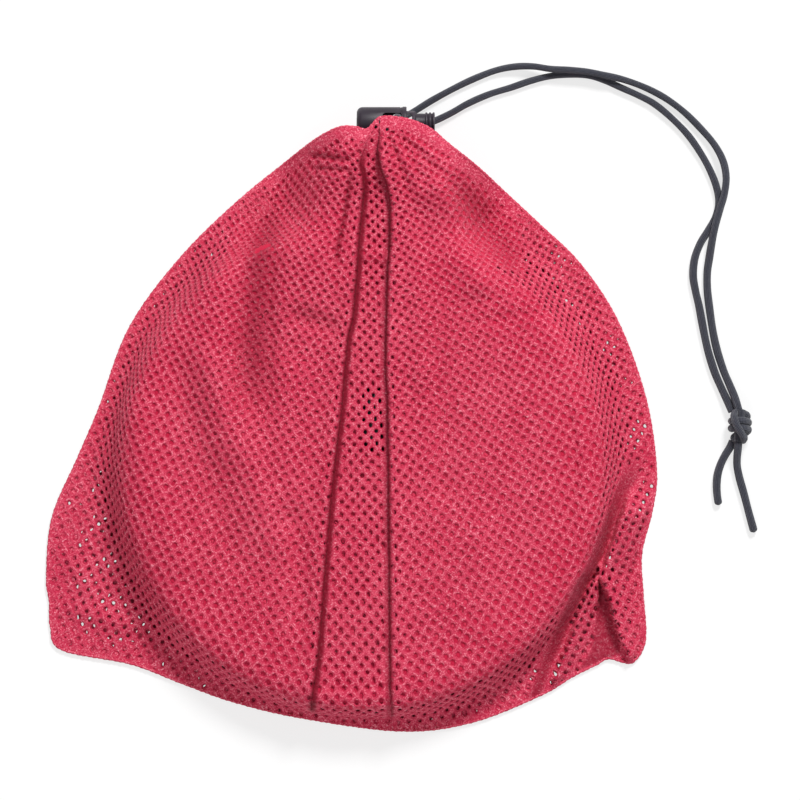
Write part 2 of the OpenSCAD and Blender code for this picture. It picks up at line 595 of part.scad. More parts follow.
// Two balls side by side, as large as the space between the pump's handle and the net's binding allows.
ball_room = stored_r - 1;
ball_b = 2 * ball_room + 0.5 - 2 * ball_line;
ball_c = ball_line * ball_line + 0.0625 - ball_room * ball_room;
ball_r = (-ball_b + sqrt(ball_b * ball_b - 4 * ball_c)) / 2;
function ball_at(i) = [pack_x + (i == 1 ? -1 : 1) * (ball_r + 0.25), pack_y + ball_line - ball_r];
module flat_ball(i)
    color([0.93, 0.78, 0.16]) translate([ball_at(i).x, ball_at(i).y, content_z]) difference() {
        rotate_extrude($fn = 72) {
            square([ball_r - ball_t / 2, ball_t]);
            translate([ball_r - ball_t / 2, ball_t / 2]) intersection() {
                circle(d = ball_t, $fn = 32);
                translate([0, -ball_t / 2]) square([ball_t, ball_t]);
            }
        }
        translate([0, 0, ball_t - ball_dish]) cylinder(h = ball_dish + 1, r1 = ball_r * 0.55, r2 = ball_r * 0.8);
        translate([0, 0, ball_t - ball_dish - 3]) cylinder(h = 4, d = valve_d + 0.4);
    }
module ball_valve(i)
    color(plastic_black) translate([ball_at(i).x, ball_at(i).y, content_z + ball_t - ball_dish - 3]) difference() {
        cylinder(h = 2.8, d = valve_d);
        translate([0, 0, 1]) cylinder(h = 3, r = 0.9, $fn = 24);
    }

// Five legs side by side over the balls. Neighbours lie head to tail.
leg_z = legs_top - max(foot_d, clip_h) / 2;
clip_r = sleeve_d / 2 + clip_clear + clip_wall;
leg_pitch = clip_r + foot_d / 2 + leg_gap;
leg_first = ball_line - clip_r;
function leg_dy(i) = leg_first - (i - 1) * leg_pitch;
leg_far = abs(leg_dy(leg_count)) + clip_r;
leg_reach = sqrt(stored_r * stored_r - leg_far * leg_far) - 1;
leg_turn = [0, 180];
leg_in_clip = 6;
clip_plug_len = 10;
module leg_at(i) translate([pack_x, pack_y + leg_dy(i), leg_z]) rotate([0, 0, leg_turn[i % 2]]) children();
clip_x = leg_reach - clip_r;
tube_x1 = clip_x - clip_r + 0.6;
tube_x0 = -leg_reach + 2;
module leg_tube(i)
    color(steel) leg_at(i) rotate([0, 90, 0]) difference() {
        translate([0, 0, tube_x0]) cylinder(h = tube_x1 - tube_x0, d = leg_d);
        translate([0, 0, tube_x0 - 1]) cylinder(h = tube_x1 - tube_x0 + 2, d = leg_d - 2 * leg_wall);
    }
module leg_clip(i)
    color(plastic_black) leg_at(i) {
        difference() {
            translate([clip_x, 0, -clip_h / 2]) cylinder(h = clip_h, r = clip_r);
            translate([clip_x, 0, -clip_h]) cylinder(h = 2 * clip_h, r = clip_r - clip_wall);
            translate([clip_x + 1.5, -clip_r, -clip_h]) cube([clip_r, 2 * clip_r, 2 * clip_h]);
            rotate([0, 90, 0]) translate([0, 0, tube_x1 - leg_in_clip]) cylinder(h = leg_in_clip + eps, d = leg_d + 0.2);
        }
        rotate([0, 90, 0]) translate([0, 0, tube_x1 - clip_plug_len])
            cylinder(h = clip_plug_len + 1, d = leg_d - 2 * leg_wall - 0.2);
    }
module leg_foot(i)
    color([0.15, 0.15, 0.15]) leg_at(i) rotate([0, 90, 0]) difference() {
        translate([0, 0, -leg_reach]) cylinder(h = foot_len, d = foot_d);
        translate([0, 0, tube_x0 - 0.1]) cylinder(h = foot_len, d = leg_d + 0.1);
    }

bag_front_panel();
bag_back_panel();
bag_edge_seam();
drawcord_hem();
drawcord_in_hem();
drawcord_outer_strand();
drawcord_inner_strand();
drawcord_knot();
drawcord_long_tail();
drawcord_short_tail();
lock_barrel();
lock_plunger();
lock_spring();
hoop_wire();
hoop_ferrule();
hoop_sleeve();
folded_net();
net_binding();
pump_barrel();
pump_cap();
pump_rod();
pump_handle();
pump_piston();
pump_seal();
inflation_needle();
for (i = [1:leg_count]) {
    leg_tube(i);
    leg_clip(i);
    leg_foot(i);
}
for (i = [1:ball_count]) {
    flat_ball(i);
    ball_valve(i);
}
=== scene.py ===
import math

import bpy
import numpy as np
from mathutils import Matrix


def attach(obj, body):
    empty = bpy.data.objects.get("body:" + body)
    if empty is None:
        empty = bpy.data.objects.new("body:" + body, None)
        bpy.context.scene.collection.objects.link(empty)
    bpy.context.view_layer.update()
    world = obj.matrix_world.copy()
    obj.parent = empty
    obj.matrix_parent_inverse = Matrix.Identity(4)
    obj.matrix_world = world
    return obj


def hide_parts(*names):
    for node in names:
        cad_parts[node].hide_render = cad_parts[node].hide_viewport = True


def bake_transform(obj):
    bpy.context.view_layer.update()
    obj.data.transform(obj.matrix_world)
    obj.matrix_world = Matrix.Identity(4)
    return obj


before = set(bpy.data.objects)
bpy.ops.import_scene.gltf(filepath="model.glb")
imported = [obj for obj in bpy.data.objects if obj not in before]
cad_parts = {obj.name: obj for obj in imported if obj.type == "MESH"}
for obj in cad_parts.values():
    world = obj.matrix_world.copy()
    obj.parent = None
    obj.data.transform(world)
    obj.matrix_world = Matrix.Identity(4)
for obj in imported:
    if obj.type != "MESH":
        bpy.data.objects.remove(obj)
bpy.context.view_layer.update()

# ---- Viewpoint ----
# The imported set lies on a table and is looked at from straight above, from far enough away
# that its raised middle isn't drawn larger than its edges.
MM = 0.001
FULL_TURN = 2 * math.pi
view_width, sensor_width, drawn_height = 0.4, 36, 0.004
eye = bpy.data.objects.new("viewpoint", bpy.data.cameras.new("viewpoint"))
eye.location = (24.5 * MM, 10.25 * MM, 2.0)
eye.data.sensor_width = sensor_width
eye.data.lens = sensor_width * (eye.location.z - drawn_height) / view_width
eye.data.clip_end = 20
bpy.context.scene.collection.objects.link(eye)
bpy.context.scene.camera = eye

# ---- Drawcord: two free strands, their knot and its two tails ----
# One braided 4 mm polyester cord. Both ends leave the cord lock from below, run side by side over
# the table, and are tied together in one overhand knot, past which two short tails stick out.
# The braid is sixteen plaits laid over and under each other in two opposite spirals.


def column(values):
    return np.asarray(values, float)


def smooth_step(x, low=0.0, high=1.0):
    t = np.clip((np.asarray(x, float) - low) / (high - low), 0, 1)
    return t * t * (3 - 2 * t)


def unit_rows(rows):
    return rows / np.maximum(np.linalg.norm(rows, axis=-1, keepdims=True), 1e-9)


def even_route(points, step, closed=False):
    """Points of a smooth curve through the given ones, a fixed step apart, and how far along."""
    p = column(points)
    if closed:
        ends = np.vstack([p[-1], p, p[0], p[1]])
    else:
        ends = np.vstack([2 * p[0] - p[1], p, 2 * p[-1] - p[-2]])
    t = np.linspace(0, 1, 24, endpoint=False)[:, None]
    runs = [0.5 * (2 * b + (c - a) * t + (2 * a - 5 * b + 4 * c - d) * t**2
                   + (3 * b - a - 3 * c + d) * t**3)
            for a, b, c, d in zip(ends[:-3], ends[1:-2], ends[2:-1], ends[3:])]
    dense = np.vstack(runs + [ends[-2:-1]])
    steps = np.linalg.norm(np.diff(dense, axis=0), axis=1)
    along = np.concatenate([[0], np.cumsum(steps)])
    s = np.linspace(0, along[-1], max(int(round(along[-1] / step)), 2) + 1)
    if closed:
        s = s[:-1]
    return np.stack([np.interp(s, along, dense[:, k]) for k in range(3)], 1), s


def carried_frames(p, up, closed=False):
    """Two directions square to a route at each point, turned as little as possible along it."""
    t = unit_rows(np.roll(p, -1, 0) - np.roll(p, 1, 0) if closed else np.gradient(p, axis=0))
    u = np.zeros_like(p)
    last = column(up)
    for i in range(len(p)):
        last = last - t[i] * (t[i] @ last)
        last = last / np.linalg.norm(last)
        u[i] = last
    return u, np.cross(t, u)


class Socket:
    """A value in a material, so that shader maths reads as plain arithmetic."""

    def __init__(self, finish, output):
        self.finish = finish
        self.output = output

    def maths(self, operation, *terms):
        return self.finish.node("ShaderNodeMath", {"operation": operation}, dict(enumerate(terms)))

    def __add__(self, other):
        return self.maths("ADD", self, other)

    def __sub__(self, other):
        return self.maths("SUBTRACT", self, other)

    def __rsub__(self, other):
        return self.maths("SUBTRACT", other, self)

    def __mul__(self, other):
        return self.maths("MULTIPLY", self, other)

    __radd__ = __add__
    __rmul__ = __mul__


class Finish:
    """A procedural material. Every node of it comes from node()."""

    def __init__(self, name, constants):
        self.material = bpy.data.materials.new(name)
        self.material.use_nodes = True
        self.tree = self.material.node_tree
        self.shader = self.tree.nodes["Principled BSDF"]
        for key, value in constants.items():
            self.shader.inputs[key].default_value = value

    def node(self, kind, settings=None, inputs=None, output=0):
        made = self.tree.nodes.new(kind)
        for key, value in (settings or {}).items():
            setattr(made, key, value)
        for key, value in (inputs or {}).items():
            if isinstance(value, Socket):
                self.tree.links.new(value.output, made.inputs[key])
            else:
                made.inputs[key].default_value = value
        return Socket(self, made.outputs[output])

    def feed(self, name, value):
        self.tree.links.new(value.output, self.shader.inputs[name])

    def noise(self, scale, detail=2.0, rough=0.5, where=None):
        """Clouds over the object's own space, in metres, or over another vector."""
        where = where or self.node("ShaderNodeTexCoord", output="Object")
        return self.node("ShaderNodeTexNoise", None, {
            "Vector": where, "Scale": scale, "Detail": detail, "Roughness": rough}, "Fac")

    def stretched(self, scale, where=None):
        where = where or self.node("ShaderNodeTexCoord", output="Object")
        return self.node("ShaderNodeVectorMath", {"operation": "MULTIPLY"}, {0: where, 1: scale})

    def blend(self, share, first, second):
        """Mix of two colours."""
        return self.node("ShaderNodeMix", {"data_type": "RGBA"}, {0: share, 6: first, 7: second}, 2)

    def step(self, value, low, high):
        """0 below low, 1 above high, smooth between."""
        return self.node("ShaderNodeMapRange", {"interpolation_type": "SMOOTHSTEP"},
                         {"Value": value, "From Min": low, "From Max": high}, "Result")

    def lay(self):
        """The map that a mesh brings along."""
        return self.node("ShaderNodeUVMap", {"uv_map": "lay"})

    def across_and_along(self):
        """The two numbers of that map: round the piece and along it."""
        split = self.node("ShaderNodeSeparateXYZ", None, {0: self.lay()})
        return split, Socket(self, split.output.node.outputs[1])

    def wave(self, value):
        return value.maths("SINE", value)

    def relief(self, height, depth_mm):
        self.feed("Normal", self.node("ShaderNodeBump", None, {
            "Strength": 1.0, "Distance": depth_mm * MM, "Height": height}))


def rgb(red, green, blue):
    return (red, green, blue, 1.0)


def new_object(name, points, faces):
    """A bare mesh object. points are in millimetres."""
    mesh = bpy.data.meshes.new(name)
    mesh.from_pydata((column(points) * MM).tolist(), [], [list(map(int, f)) for f in faces])
    mesh.update()
    made = bpy.data.objects.new(name, mesh)
    bpy.context.scene.collection.objects.link(made)
    return made


def finish_piece(piece, finish, body, replaced):
    """Gives a piece its finish, the body it rides on and the nodes it replaces."""
    mesh = piece.data
    mesh.polygons.foreach_set("use_smooth", [True] * len(mesh.polygons))
    mesh.materials.clear()
    mesh.materials.append(finish.material)
    mesh.update()
    if body:
        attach(piece, body)
    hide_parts(*replaced)
    return piece


def make_piece(name, points, faces, finish, replaced, maps=None, marks=None,
               body="packed_bag"):
    """A mesh piece in the shared frame, with its map and its marks. points are in millimetres."""
    piece = new_object(name, points, faces)
    if maps is not None:
        piece.data.uv_layers.new(name="lay").data.foreach_set("uv", column(maps).ravel())
    for key, values in (marks or {}).items():
        attribute = piece.data.attributes.new(key, "FLOAT", "POINT")
        attribute.data.foreach_set("value", column(values))
    return finish_piece(piece, finish, body, replaced)


def ring_faces(rings, sides, closed=False, caps=True):
    """Quads of a lofted tube, with the map's corner pairs (round, along) for each."""
    faces, maps = [], []
    for i in range(rings if closed else rings - 1):
        j = (i + 1) % rings
        for k in range(sides):
            m = (k + 1) % sides
            faces.append((i * sides + k, i * sides + m, j * sides + m, j * sides + k))
            maps += [(a / sides, b) for a, b in ((k, i), (k + 1, i), (k + 1, i + 1), (k, i + 1))]
    if caps and not closed:
        for base in (0, (rings - 1) * sides):
            ring = list(range(base, base + sides))
            faces.append(ring[::-1] if base == 0 else ring)
            maps += [(0.0, 0 if base == 0 else rings - 1)] * sides
    return faces, maps


def scaled(maps, across, along):
    return [(a * across, b * along) for a, b in maps]


def turned_over(faces, maps):
    """The same faces and their maps, facing the other way."""
    out, start = [], 0
    for face in faces:
        out += maps[start:start + len(face)][::-1]
        start += len(face)
    return [face[::-1] for face in faces], out


def tube_points(route, radii, sides, u, v, swell=None, marks=None):
    """Rings of points round a route. swell(round, mark) adds to their radii, mark by mark."""
    turn = np.arange(sides) * FULL_TURN / sides
    r = np.broadcast_to(column(radii).reshape(-1, 1), (len(route), sides)).copy()
    if swell is not None:
        r = r + swell(turn[None, :], marks[:, None])
    out = route[:, None, :] + r[..., None] * (np.cos(turn)[None, :, None] * u[:, None, :]
                                              + np.sin(turn)[None, :, None] * v[:, None, :])
    return out.reshape(-1, 3)


def loft(route, radii, sides, up, closed=False, swell=None):
    """Points of a tube: radii is one number or one for each ring, which swell is given."""
    u, v = carried_frames(route, up, closed)
    return tube_points(route, radii, sides, u, v, swell, np.arange(len(route)))


cord_d, plait_len, plaits_round, cord_sides = 4.0, 9.0, 8, 32
cord_finish = Finish("braided cord", {
    "Roughness": 0.62, "Sheen Weight": 0.25, "Sheen Roughness": 0.4, "Specular IOR Level": 0.35})
around, length = cord_finish.across_and_along()
plaits = (cord_finish.wave((around * plaits_round + length) * FULL_TURN)
          * cord_finish.wave((around * plaits_round - length) * FULL_TURN))
fibre = cord_finish.noise(2600, 3, 0.6)
cord_finish.feed("Base Color", cord_finish.blend(
    cord_finish.step(plaits * 0.5 + fibre * 0.9, 0.1, 0.95),
    rgb(0.018, 0.019, 0.030), rgb(0.088, 0.092, 0.122)))
cord_finish.relief(plaits + fibre * 0.7, 0.25)


def plait_swell(lay, depth):
    """How far the plaits stand out of the cord."""
    def swell(turn, i):
        a = np.sin(plaits_round * turn + FULL_TURN * lay[i])
        b = np.sin(plaits_round * turn - FULL_TURN * lay[i])
        return depth * a * b
    return swell


def braid(name, points, replaced, slim=0.0, melted=False):
    """A braided cord along a route. Its plaits stand out of it. slim is how much thinner it is
    at its start, where the pull of the lock has drawn it out. A melted end is rounded over."""
    route, s = even_route(points, 0.55)
    lay = plaits_round * s / plait_len
    radii = cord_d / 2 - 0.1 - slim * (1 - smooth_step(s, 130, 260))
    if melted:
        radii = radii * np.sqrt(1.02 - np.clip((s - s[-1] + 1.7) / 1.7, 0, 1)**2)
    faces, maps = ring_faces(len(route), cord_sides)
    piece = make_piece(
        name, loft(route, radii, cord_sides, (1, 0, 0), swell=plait_swell(lay, 0.11)), faces,
        cord_finish, [replaced], scaled(maps, 1, lay[1] - lay[0]))
    return piece, [metres(p) for p in route[::3]]


def metres(point):
    return tuple(float(c) * MM for c in point)


strand_x, outer_y, inner_y, lock_y = 23.15, 149.98, 145.48, 147.73
lock_lift, window_top = 12.0, 28.0
outer_route = [
    (strand_x, outer_y, lock_lift), (strand_x + 1.15, outer_y + 0.65, lock_lift - 4.95),
    (strand_x + 4.3, outer_y + 2.4, lock_lift - 8.57),
    (strand_x + 8.6, outer_y + 4.8, lock_lift - 9.9),
    (40.5, 160.2, 2.1), (51.5, 166.2, 2.1), (62, 171.2, 2.1), (72.5, 175.2, 2.2), (82, 177, 3),
    (91, 177, 4.4), (100, 175.6, 5.8), (109.5, 175, 6.3), (118, 174.2, 6.3), (126, 172.6, 6.1),
    (134.5, 170.8, 4.8), (143, 168.2, 3), (151, 164.8, 2.2), (159, 160.2, 2.1),
    (167.5, 153.6, 2.1), (176, 145, 2.2), (182, 137.6, 3.2), (186, 129.6, 4.8),
    (187.4, 121.2, 6.2), (186.4, 113, 6.5), (184.4, 106.4, 6.5), (182.6, 100, 6.5),
    (181.2, 94, 6.1), (180.2, 88, 4.6), (179.2, 81, 2.8), (178.3, 74.2, 2.1), (178.3, 66, 2.1),
    (179.2, 57.5, 2.1), (181, 45.2, 2.1), (183.2, 35, 2.1), (186.4, 25, 2.3), (189.4, 17.6, 3.6),
    (192, 10.8, 5.4), (193.7, 4.8, 6.7)]
inner_route = [
    (strand_x, inner_y, lock_lift), (strand_x + 1.19, inner_y + 0.26, lock_lift - 4.55),
    (strand_x + 4.45, inner_y + 0.96, lock_lift - 7.88),
    (strand_x + 8.9, inner_y + 1.9, lock_lift - 9.1),
    (41, 149.6, 2.8), (50, 153.8, 2.3), (58.5, 158.6, 2.1), (69, 163.2, 2.1), (80, 166.6, 2.1),
    (90, 170, 2.1), (100, 172.4, 2.1), (110, 173.2, 2.1), (119, 172.6, 2.1), (127.5, 170, 2.1),
    (136, 166.2, 2.1), (144, 162.6, 2.1), (151.5, 158.6, 2.1), (159.5, 152.2, 2.1),
    (168, 143.6, 2.1), (174.2, 135, 2.1), (179.2, 126.2, 2.1), (182.8, 117.2, 2.1),
    (184, 109, 2.1), (182.4, 101.5, 2.1), (178.8, 95, 2.1), (174.8, 88.6, 2.1), (172, 81, 2.1),
    (171.2, 72.6, 2.1), (172.4, 64.8, 2.1), (174.2, 57, 2.1), (176.4, 45.2, 2.1),
    (178.6, 35, 2.1), (181.8, 24.6, 2.1), (185, 17, 2.2), (188, 10.4, 2.9), (190.6, 4.5, 3.8)]
long_tail_route = [(193.4, -10.4, 7.6), (193.2, -14.4, 6.6), (193, -18.6, 4.4), (193.2, -23, 2.7),
                   (194.4, -28.8, 2.1), (196.7, -37, 2.1), (199.2, -46.6, 2.1), (201.8, -56, 2.1)]
short_tail_route = [(190.9, -10.4, 4), (189.6, -13.4, 3.4), (187.4, -17, 2.6), (185.2, -21.4, 2.1),
                    (183.6, -26.4, 2.1), (183, -31.6, 2.1), (183.2, -37, 2.1), (184, -42.4, 2.1)]
strands = [braid("outer_strand", outer_route, "drawcord_outer_strand", slim=0.3),
           braid("inner_strand", inner_route, "drawcord_inner_strand", slim=0.3)]
tails = [braid("long_tail", long_tail_route, "drawcord_long_tail", melted=True),
         braid("short_tail", short_tail_route, "drawcord_short_tail", melted=True)]

# The knot is pulled tight: each strand goes into its top end, winds round the others, and one
# turn crosses over the wraps on its way out. Places in it are (along, degrees round, radius).
knot_middle = column((194.2, -3, 6.4))
knot_down = unit_rows(column((-0.02, -1, 0.0)))
knot_side = unit_rows(np.cross(knot_down, (0, 0, 1.0)))
knot_up = np.cross(knot_side, knot_down)
knot_cord_r, knot_sides = 1.92, 28


def knot_point(along, angle, r):
    a = math.radians(angle)
    return knot_middle + knot_down * along + r * (math.cos(a) * knot_side + math.sin(a) * knot_up)


knot_points, knot_faces, knot_maps = [], [], []
wraps = [(-4.6 + 3.6 * i / 12 + 0.9 * math.sin(math.radians(30 * i)), 215 + 30 * i, 4.15)
         for i in range(27)]
strand_runs = [
    # The wraps, which start inside at the top end and finish inside at the bottom end.
    [(-6.6, 150, 1.2), (-5.8, 185, 3.2)] + wraps + [(5.6, 1050, 3.0), (6.6, 1080, 1.4)],
    # The turn that crosses the wraps from one end to the other.
    [(-7.2, 20, 1.4), (-6.4, 35, 3.4), (-4, 55, 5.5), (-0.5, 72, 6.3), (3, 92, 5.8),
     (5.6, 118, 4.0), (6.8, 150, 1.8)],
    # The two strands that run through the middle.
    [(-8.4, 100, 2.2), (-3, 100, 2.0), (3, 60, 2.0), (7.6, 60, 2.2)],
    [(-8.4, 250, 3.4), (-3, 270, 2.2), (3, 260, 2.0), (7.6, 230, 3.3)]]
for run in strand_runs:
    route, s = even_route([knot_point(*place) for place in run], 0.5)
    lay = plaits_round * s / plait_len
    base = len(knot_points)
    knot_points += list(loft(route, knot_cord_r, knot_sides, (0, 0, 1),
                             swell=plait_swell(lay, 0.1)))
    faces, maps = ring_faces(len(route), knot_sides)
    knot_faces += [[base + v for v in f] for f in faces]
    knot_maps += scaled(maps, 1, lay[1] - lay[0])
knot = make_piece("cord_knot", knot_points, knot_faces, cord_finish, ["drawcord_knot"],
                  knot_maps)

# ---- Drawcord inside the hem ----
# The same cord where it runs up through the lock's window, round the mouth inside the hem, and
# back down through the window beside itself.
hem_x, hem_y, hem_z = hem_middle = (21.75, 134.7, 15.8)
hem_half_w, hem_half_h = 16.0, 10.0


def hem_at(angle):
    a = math.radians(angle)
    return hem_x + hem_half_w * math.sin(a), hem_y, hem_z + hem_half_h * math.cos(a)


cord_open = 26
first, last = hem_at(-cord_open), hem_at(cord_open)
braid("cord_in_hem", (
    [(strand_x, outer_y, lock_lift), (strand_x, outer_y, 20), (strand_x, outer_y, window_top - 1.5),
     (strand_x - 0.5, outer_y - 0.8, window_top + 1.3),
     (strand_x - 2, outer_y - 3.4, window_top + 2.9),
     (strand_x - 4, outer_y - 6.8, window_top + 2.9),
     (strand_x - 5.8, outer_y - 10.4, window_top + 1.8),
     (first[0] + 1.4, first[1] + 2, first[2] + 1.6)]
    + [hem_at(-cord_open - (360 - 2 * cord_open) * i / 16) for i in range(17)]
    + [(last[0] - 0.8, last[1] + 2, last[2] + 1.6),
       (strand_x + 3.8, inner_y - 6.2, window_top + 1.3),
       (strand_x + 2, inner_y - 3.3, window_top + 1.8),
       (strand_x + 0.6, inner_y - 1.1, window_top + 0.5), (strand_x, inner_y, window_top - 2),
       (strand_x, inner_y, 20), (strand_x, inner_y, lock_lift)]), "drawcord_in_hem")

# ---- Cord lock ----
# A sprung barrel lock moulded in dark plastic: a domed barrel, and inside it a plunger with a
# ribbed head. Both have a window for the two strands, which a coil spring pinches between them.
lock_z = 20.0
bore_x0, bore_r = 4.95, 6.05
plunger_x0, plunger_x1, stem_x1 = 10.25, 32.25, 37.05
pocket_x, plunger_end_x = plunger_x0 + 7, stem_x1 + 4.7
window_right, window_w, pinch_w, window_h = 25.45, 9.6, 4.6, 9.2
centre_r, sharp_over, rounded_over = 0.02, math.radians(35), math.radians(48)

lock_finish = Finish("moulded dark plastic", {"Specular IOR Level": 0.28})
mottle = lock_finish.noise(160, 3)
grain = lock_finish.noise(2400, 3, 0.6)
rubbed = lock_finish.step(lock_finish.node("ShaderNodeNewGeometry", output="Pointiness"), 0.5, 0.58)
lock_finish.feed("Base Color", lock_finish.blend(
    rubbed * 0.5 + mottle * 0.3, rgb(0.017, 0.012, 0.019), rgb(0.062, 0.048, 0.066)))
lock_finish.feed("Roughness", 0.34 + 0.22 * grain)
lock_finish.relief(grain, 0.05)


def arc_corner(middle, r, start, end, steps=5):
    turn = np.radians(np.linspace(start, end, steps))
    return [(middle[0] + r * math.cos(a), middle[1] + r * math.sin(a)) for a in turn]


def turned(profile, sides):
    """A closed profile of (along, radius) points, turned round the lock's axis."""
    p = column(profile)
    turn = np.arange(sides) * FULL_TURN / sides
    points = np.stack([np.broadcast_to(p[:, :1], (len(p), sides)),
                       lock_y + p[:, 1:] * np.cos(turn), lock_z + p[:, 1:] * np.sin(turn)], -1)
    faces, _ = ring_faces(len(p), sides, closed=True)
    return points.reshape(-1, 3), [f[::-1] for f in faces]


def window(x0, x1, r=1.6, z0=2, z1=40):
    """A post along Z with rounded corners, which cuts a window through the lock."""
    y0, y1 = lock_y - window_h / 2, lock_y + window_h / 2
    corners = [(x1 - r, y1 - r), (x0 + r, y1 - r), (x0 + r, y0 + r), (x1 - r, y0 + r)]
    plan = [p for k, corner in enumerate(corners)
            for p in arc_corner(corner, r, 90 * k, 90 * (k + 1), 6)]
    n = len(plan)
    points = [(x, y, z) for z in (z0, z1) for x, y in plan]
    faces = [(k, (k + 1) % n, n + (k + 1) % n, n + k) for k in range(n)]
    return points, faces + [list(range(n))[::-1], list(range(n, 2 * n))]


def reshape(work, kind, **settings):
    """Runs one modifier on an object and keeps the mesh that comes out."""
    modifier = work.modifiers.new("shape", kind)
    for key, value in settings.items():
        setattr(modifier, key, value)
    graph = bpy.context.evaluated_depsgraph_get()
    result = bpy.data.meshes.new_from_object(work.evaluated_get(graph))
    work.modifiers.clear()
    work.data = result


def lock_part(name, solid, cut, body, replaced, bevel):
    """Cuts a window through a part of the lock and rounds its edges over."""
    work, cutter = new_object(name, *solid), new_object("cutter", *cut)
    reshape(work, "BOOLEAN", operation="DIFFERENCE", object=cutter, solver="EXACT")
    bpy.data.objects.remove(cutter)
    reshape(work, "BEVEL", width=bevel * MM, segments=2, limit_method="ANGLE",
            angle_limit=rounded_over)
    finish_piece(work, lock_finish, body, [replaced])
    work.data.set_sharp_from_angle(angle=sharp_over)
    work.data.update()


barrel_profile = (
    [(2.95, centre_r), (2.95, 2.2)] + arc_corner((5.95, 4.9), 2.9, 200, 95, 8)
    + [(9, 7.8), (21, 7.8), (24.6, 7.8), (24.75, 7.55), (25.05, 7.55), (25.2, 7.8)]
    + arc_corner((26.1, 7.65), 0.35, 180, 90, 4) + arc_corner((27.35, 7.6), 0.4, 90, 0, 5)
    + [(27.75, 6.5), (27.45, bore_r), (16, bore_r), (bore_x0 + 0.6, bore_r),
       (bore_x0, bore_r - 0.6), (bore_x0, centre_r)])
lock_part("lock_barrel_moulding", turned(barrel_profile, 72),
          window(window_right - window_w, window_right), "packed_bag", "lock_barrel", 0.35)
head_profile = [
    (plunger_x0, 4.4), (plunger_x0, 5.5), (plunger_x0 + 0.4, 5.9), (plunger_x1 - 0.5, 5.9),
    (plunger_x1, 5.4), (plunger_x1 + 0.2, 4.6), (stem_x1 - 0.2, 4.6)]
for rib in range(3):
    x = stem_x1 + rib * 1.81
    head_profile += [(x, 4.75), (x + 0.15, 5.2), (x + 0.87, 5.2), (x + 1.02, 4.75), (x + 1.3, 4.55)]
head_profile = head_profile[:-1] + [(plunger_end_x, 4.3), (plunger_end_x, centre_r),
                                    (pocket_x, centre_r), (pocket_x, 4.4)]
lock_part("lock_plunger_moulding", turned(head_profile, 64),
          window(window_right - pinch_w, window_right + 5), "lock_button", "lock_plunger", 0.3)


def metal(name, colour, rough, streak):
    """Drawn or rolled metal, with fine lines along it and a few dull patches."""
    made = Finish(name, {"Metallic": 1.0})
    lines = made.noise(900, 3, 0.6, made.stretched(streak))
    dull = made.noise(60, 3)
    made.feed("Base Color", made.blend(dull * 0.5, colour, rgb(*(c * 0.7 for c in colour[:3]))))
    made.feed("Roughness", rough + 0.16 * lines)
    made.relief(lines, 0.03)
    return made


def dress(finish, *names):
    """Gives pieces of the frame their real finish."""
    for name in names:
        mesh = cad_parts[name].data
        mesh.materials.clear()
        mesh.materials.append(finish.material)


steel_finish = metal("spring steel", rgb(0.56, 0.57, 0.60), 0.26, (0.3, 1.0, 1.0))

# The coil spring between the barrel's closed end and the plunger's pocket, with its end turns
# closed. It is built at one length and rides no body.
spring_wire, spring_d, spring_turns, spring_sides, spring_play = 0.8, 8.0, 6, 12, 0.3
spring_x0, spring_x1 = bore_x0 + spring_play, pocket_x - spring_play
wound = np.linspace(0, 1, spring_turns * 28 + 1)
spaced = (0.1 * smooth_step(wound, 0, 0.12) + 0.8 * smooth_step(wound, 0.0, 1.0)
          + 0.1 * smooth_step(wound, 0.88, 1))
spring_a = wound * spring_turns * FULL_TURN
coil_r = (spring_d - spring_wire) / 2
spring_route = np.stack([
    spring_x0 + spring_wire / 2 + (spring_x1 - spring_x0 - spring_wire) * spaced,
    lock_y + coil_r * np.cos(spring_a), lock_z + coil_r * np.sin(spring_a)], 1)
spring_faces, spring_maps = ring_faces(len(spring_route), spring_sides)
spring = make_piece(
    "lock_coil_spring", loft(spring_route, spring_wire / 2 - 0.02, spring_sides, (1, 0, 0)),
    spring_faces, steel_finish, ["lock_spring"], spring_maps, body=None)
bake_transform(spring)

# ---- Folded hoop ----
# One loop of spring steel wire, twisted into three turns that lie in a bundle. A crimped ferrule
# joins its ends, and a padded sleeve of woven polyester is sewn over it.
pack = np.array((6.147, -24.022))
hoop_r, hoop_z, hoop_laps = 109.15, 13.95, 3
wind_r, bundled_at = 7.10, 90


def bundle_angle(turn):
    """Where a hoop's turn lies in the bundle of turns, in radians."""
    return np.radians(turn / hoop_laps + bundled_at)


def hoop_tube(name, angles, radii, sides, finish, replaced, closed=False, swell=None):
    """A piece that follows the hoop's wire between the given angles."""
    a, b = np.radians(angles), bundle_angle(angles)
    out = np.stack([np.cos(a), np.sin(a), 0 * a], -1)
    r = hoop_r + wind_r * np.cos(b)
    middle = np.stack([pack[0] + r * np.cos(a), pack[1] + r * np.sin(a),
                       hoop_z + wind_r * np.sin(b)], -1)
    points = tube_points(middle, radii, sides, out, 0 * out + (0, 0, 1.0), swell, angles)
    faces, maps = turned_over(*ring_faces(len(angles), sides, closed))
    step = math.radians(angles[1] - angles[0]) * hoop_r
    make_piece(name, points, faces, finish, [replaced], scaled(maps, 1, step))


hoop_end = 360 * hoop_laps
hoop_tube("hoop_spring_wire", np.arange(0, hoop_end, 3.0), 1.5, 12, steel_finish,
          "hoop_wire", closed=True)
crimp = np.linspace(-8.0, 8.0, 41)
crimp_r = 2.9 - 0.35 * (np.abs(np.abs(crimp) - 5.2) < 0.5) - 0.9 * (np.abs(crimp) > 7.9)
hoop_tube("hoop_crimped_ferrule", crimp, crimp_r, 24, steel_finish, "hoop_ferrule")


weave_round = 36


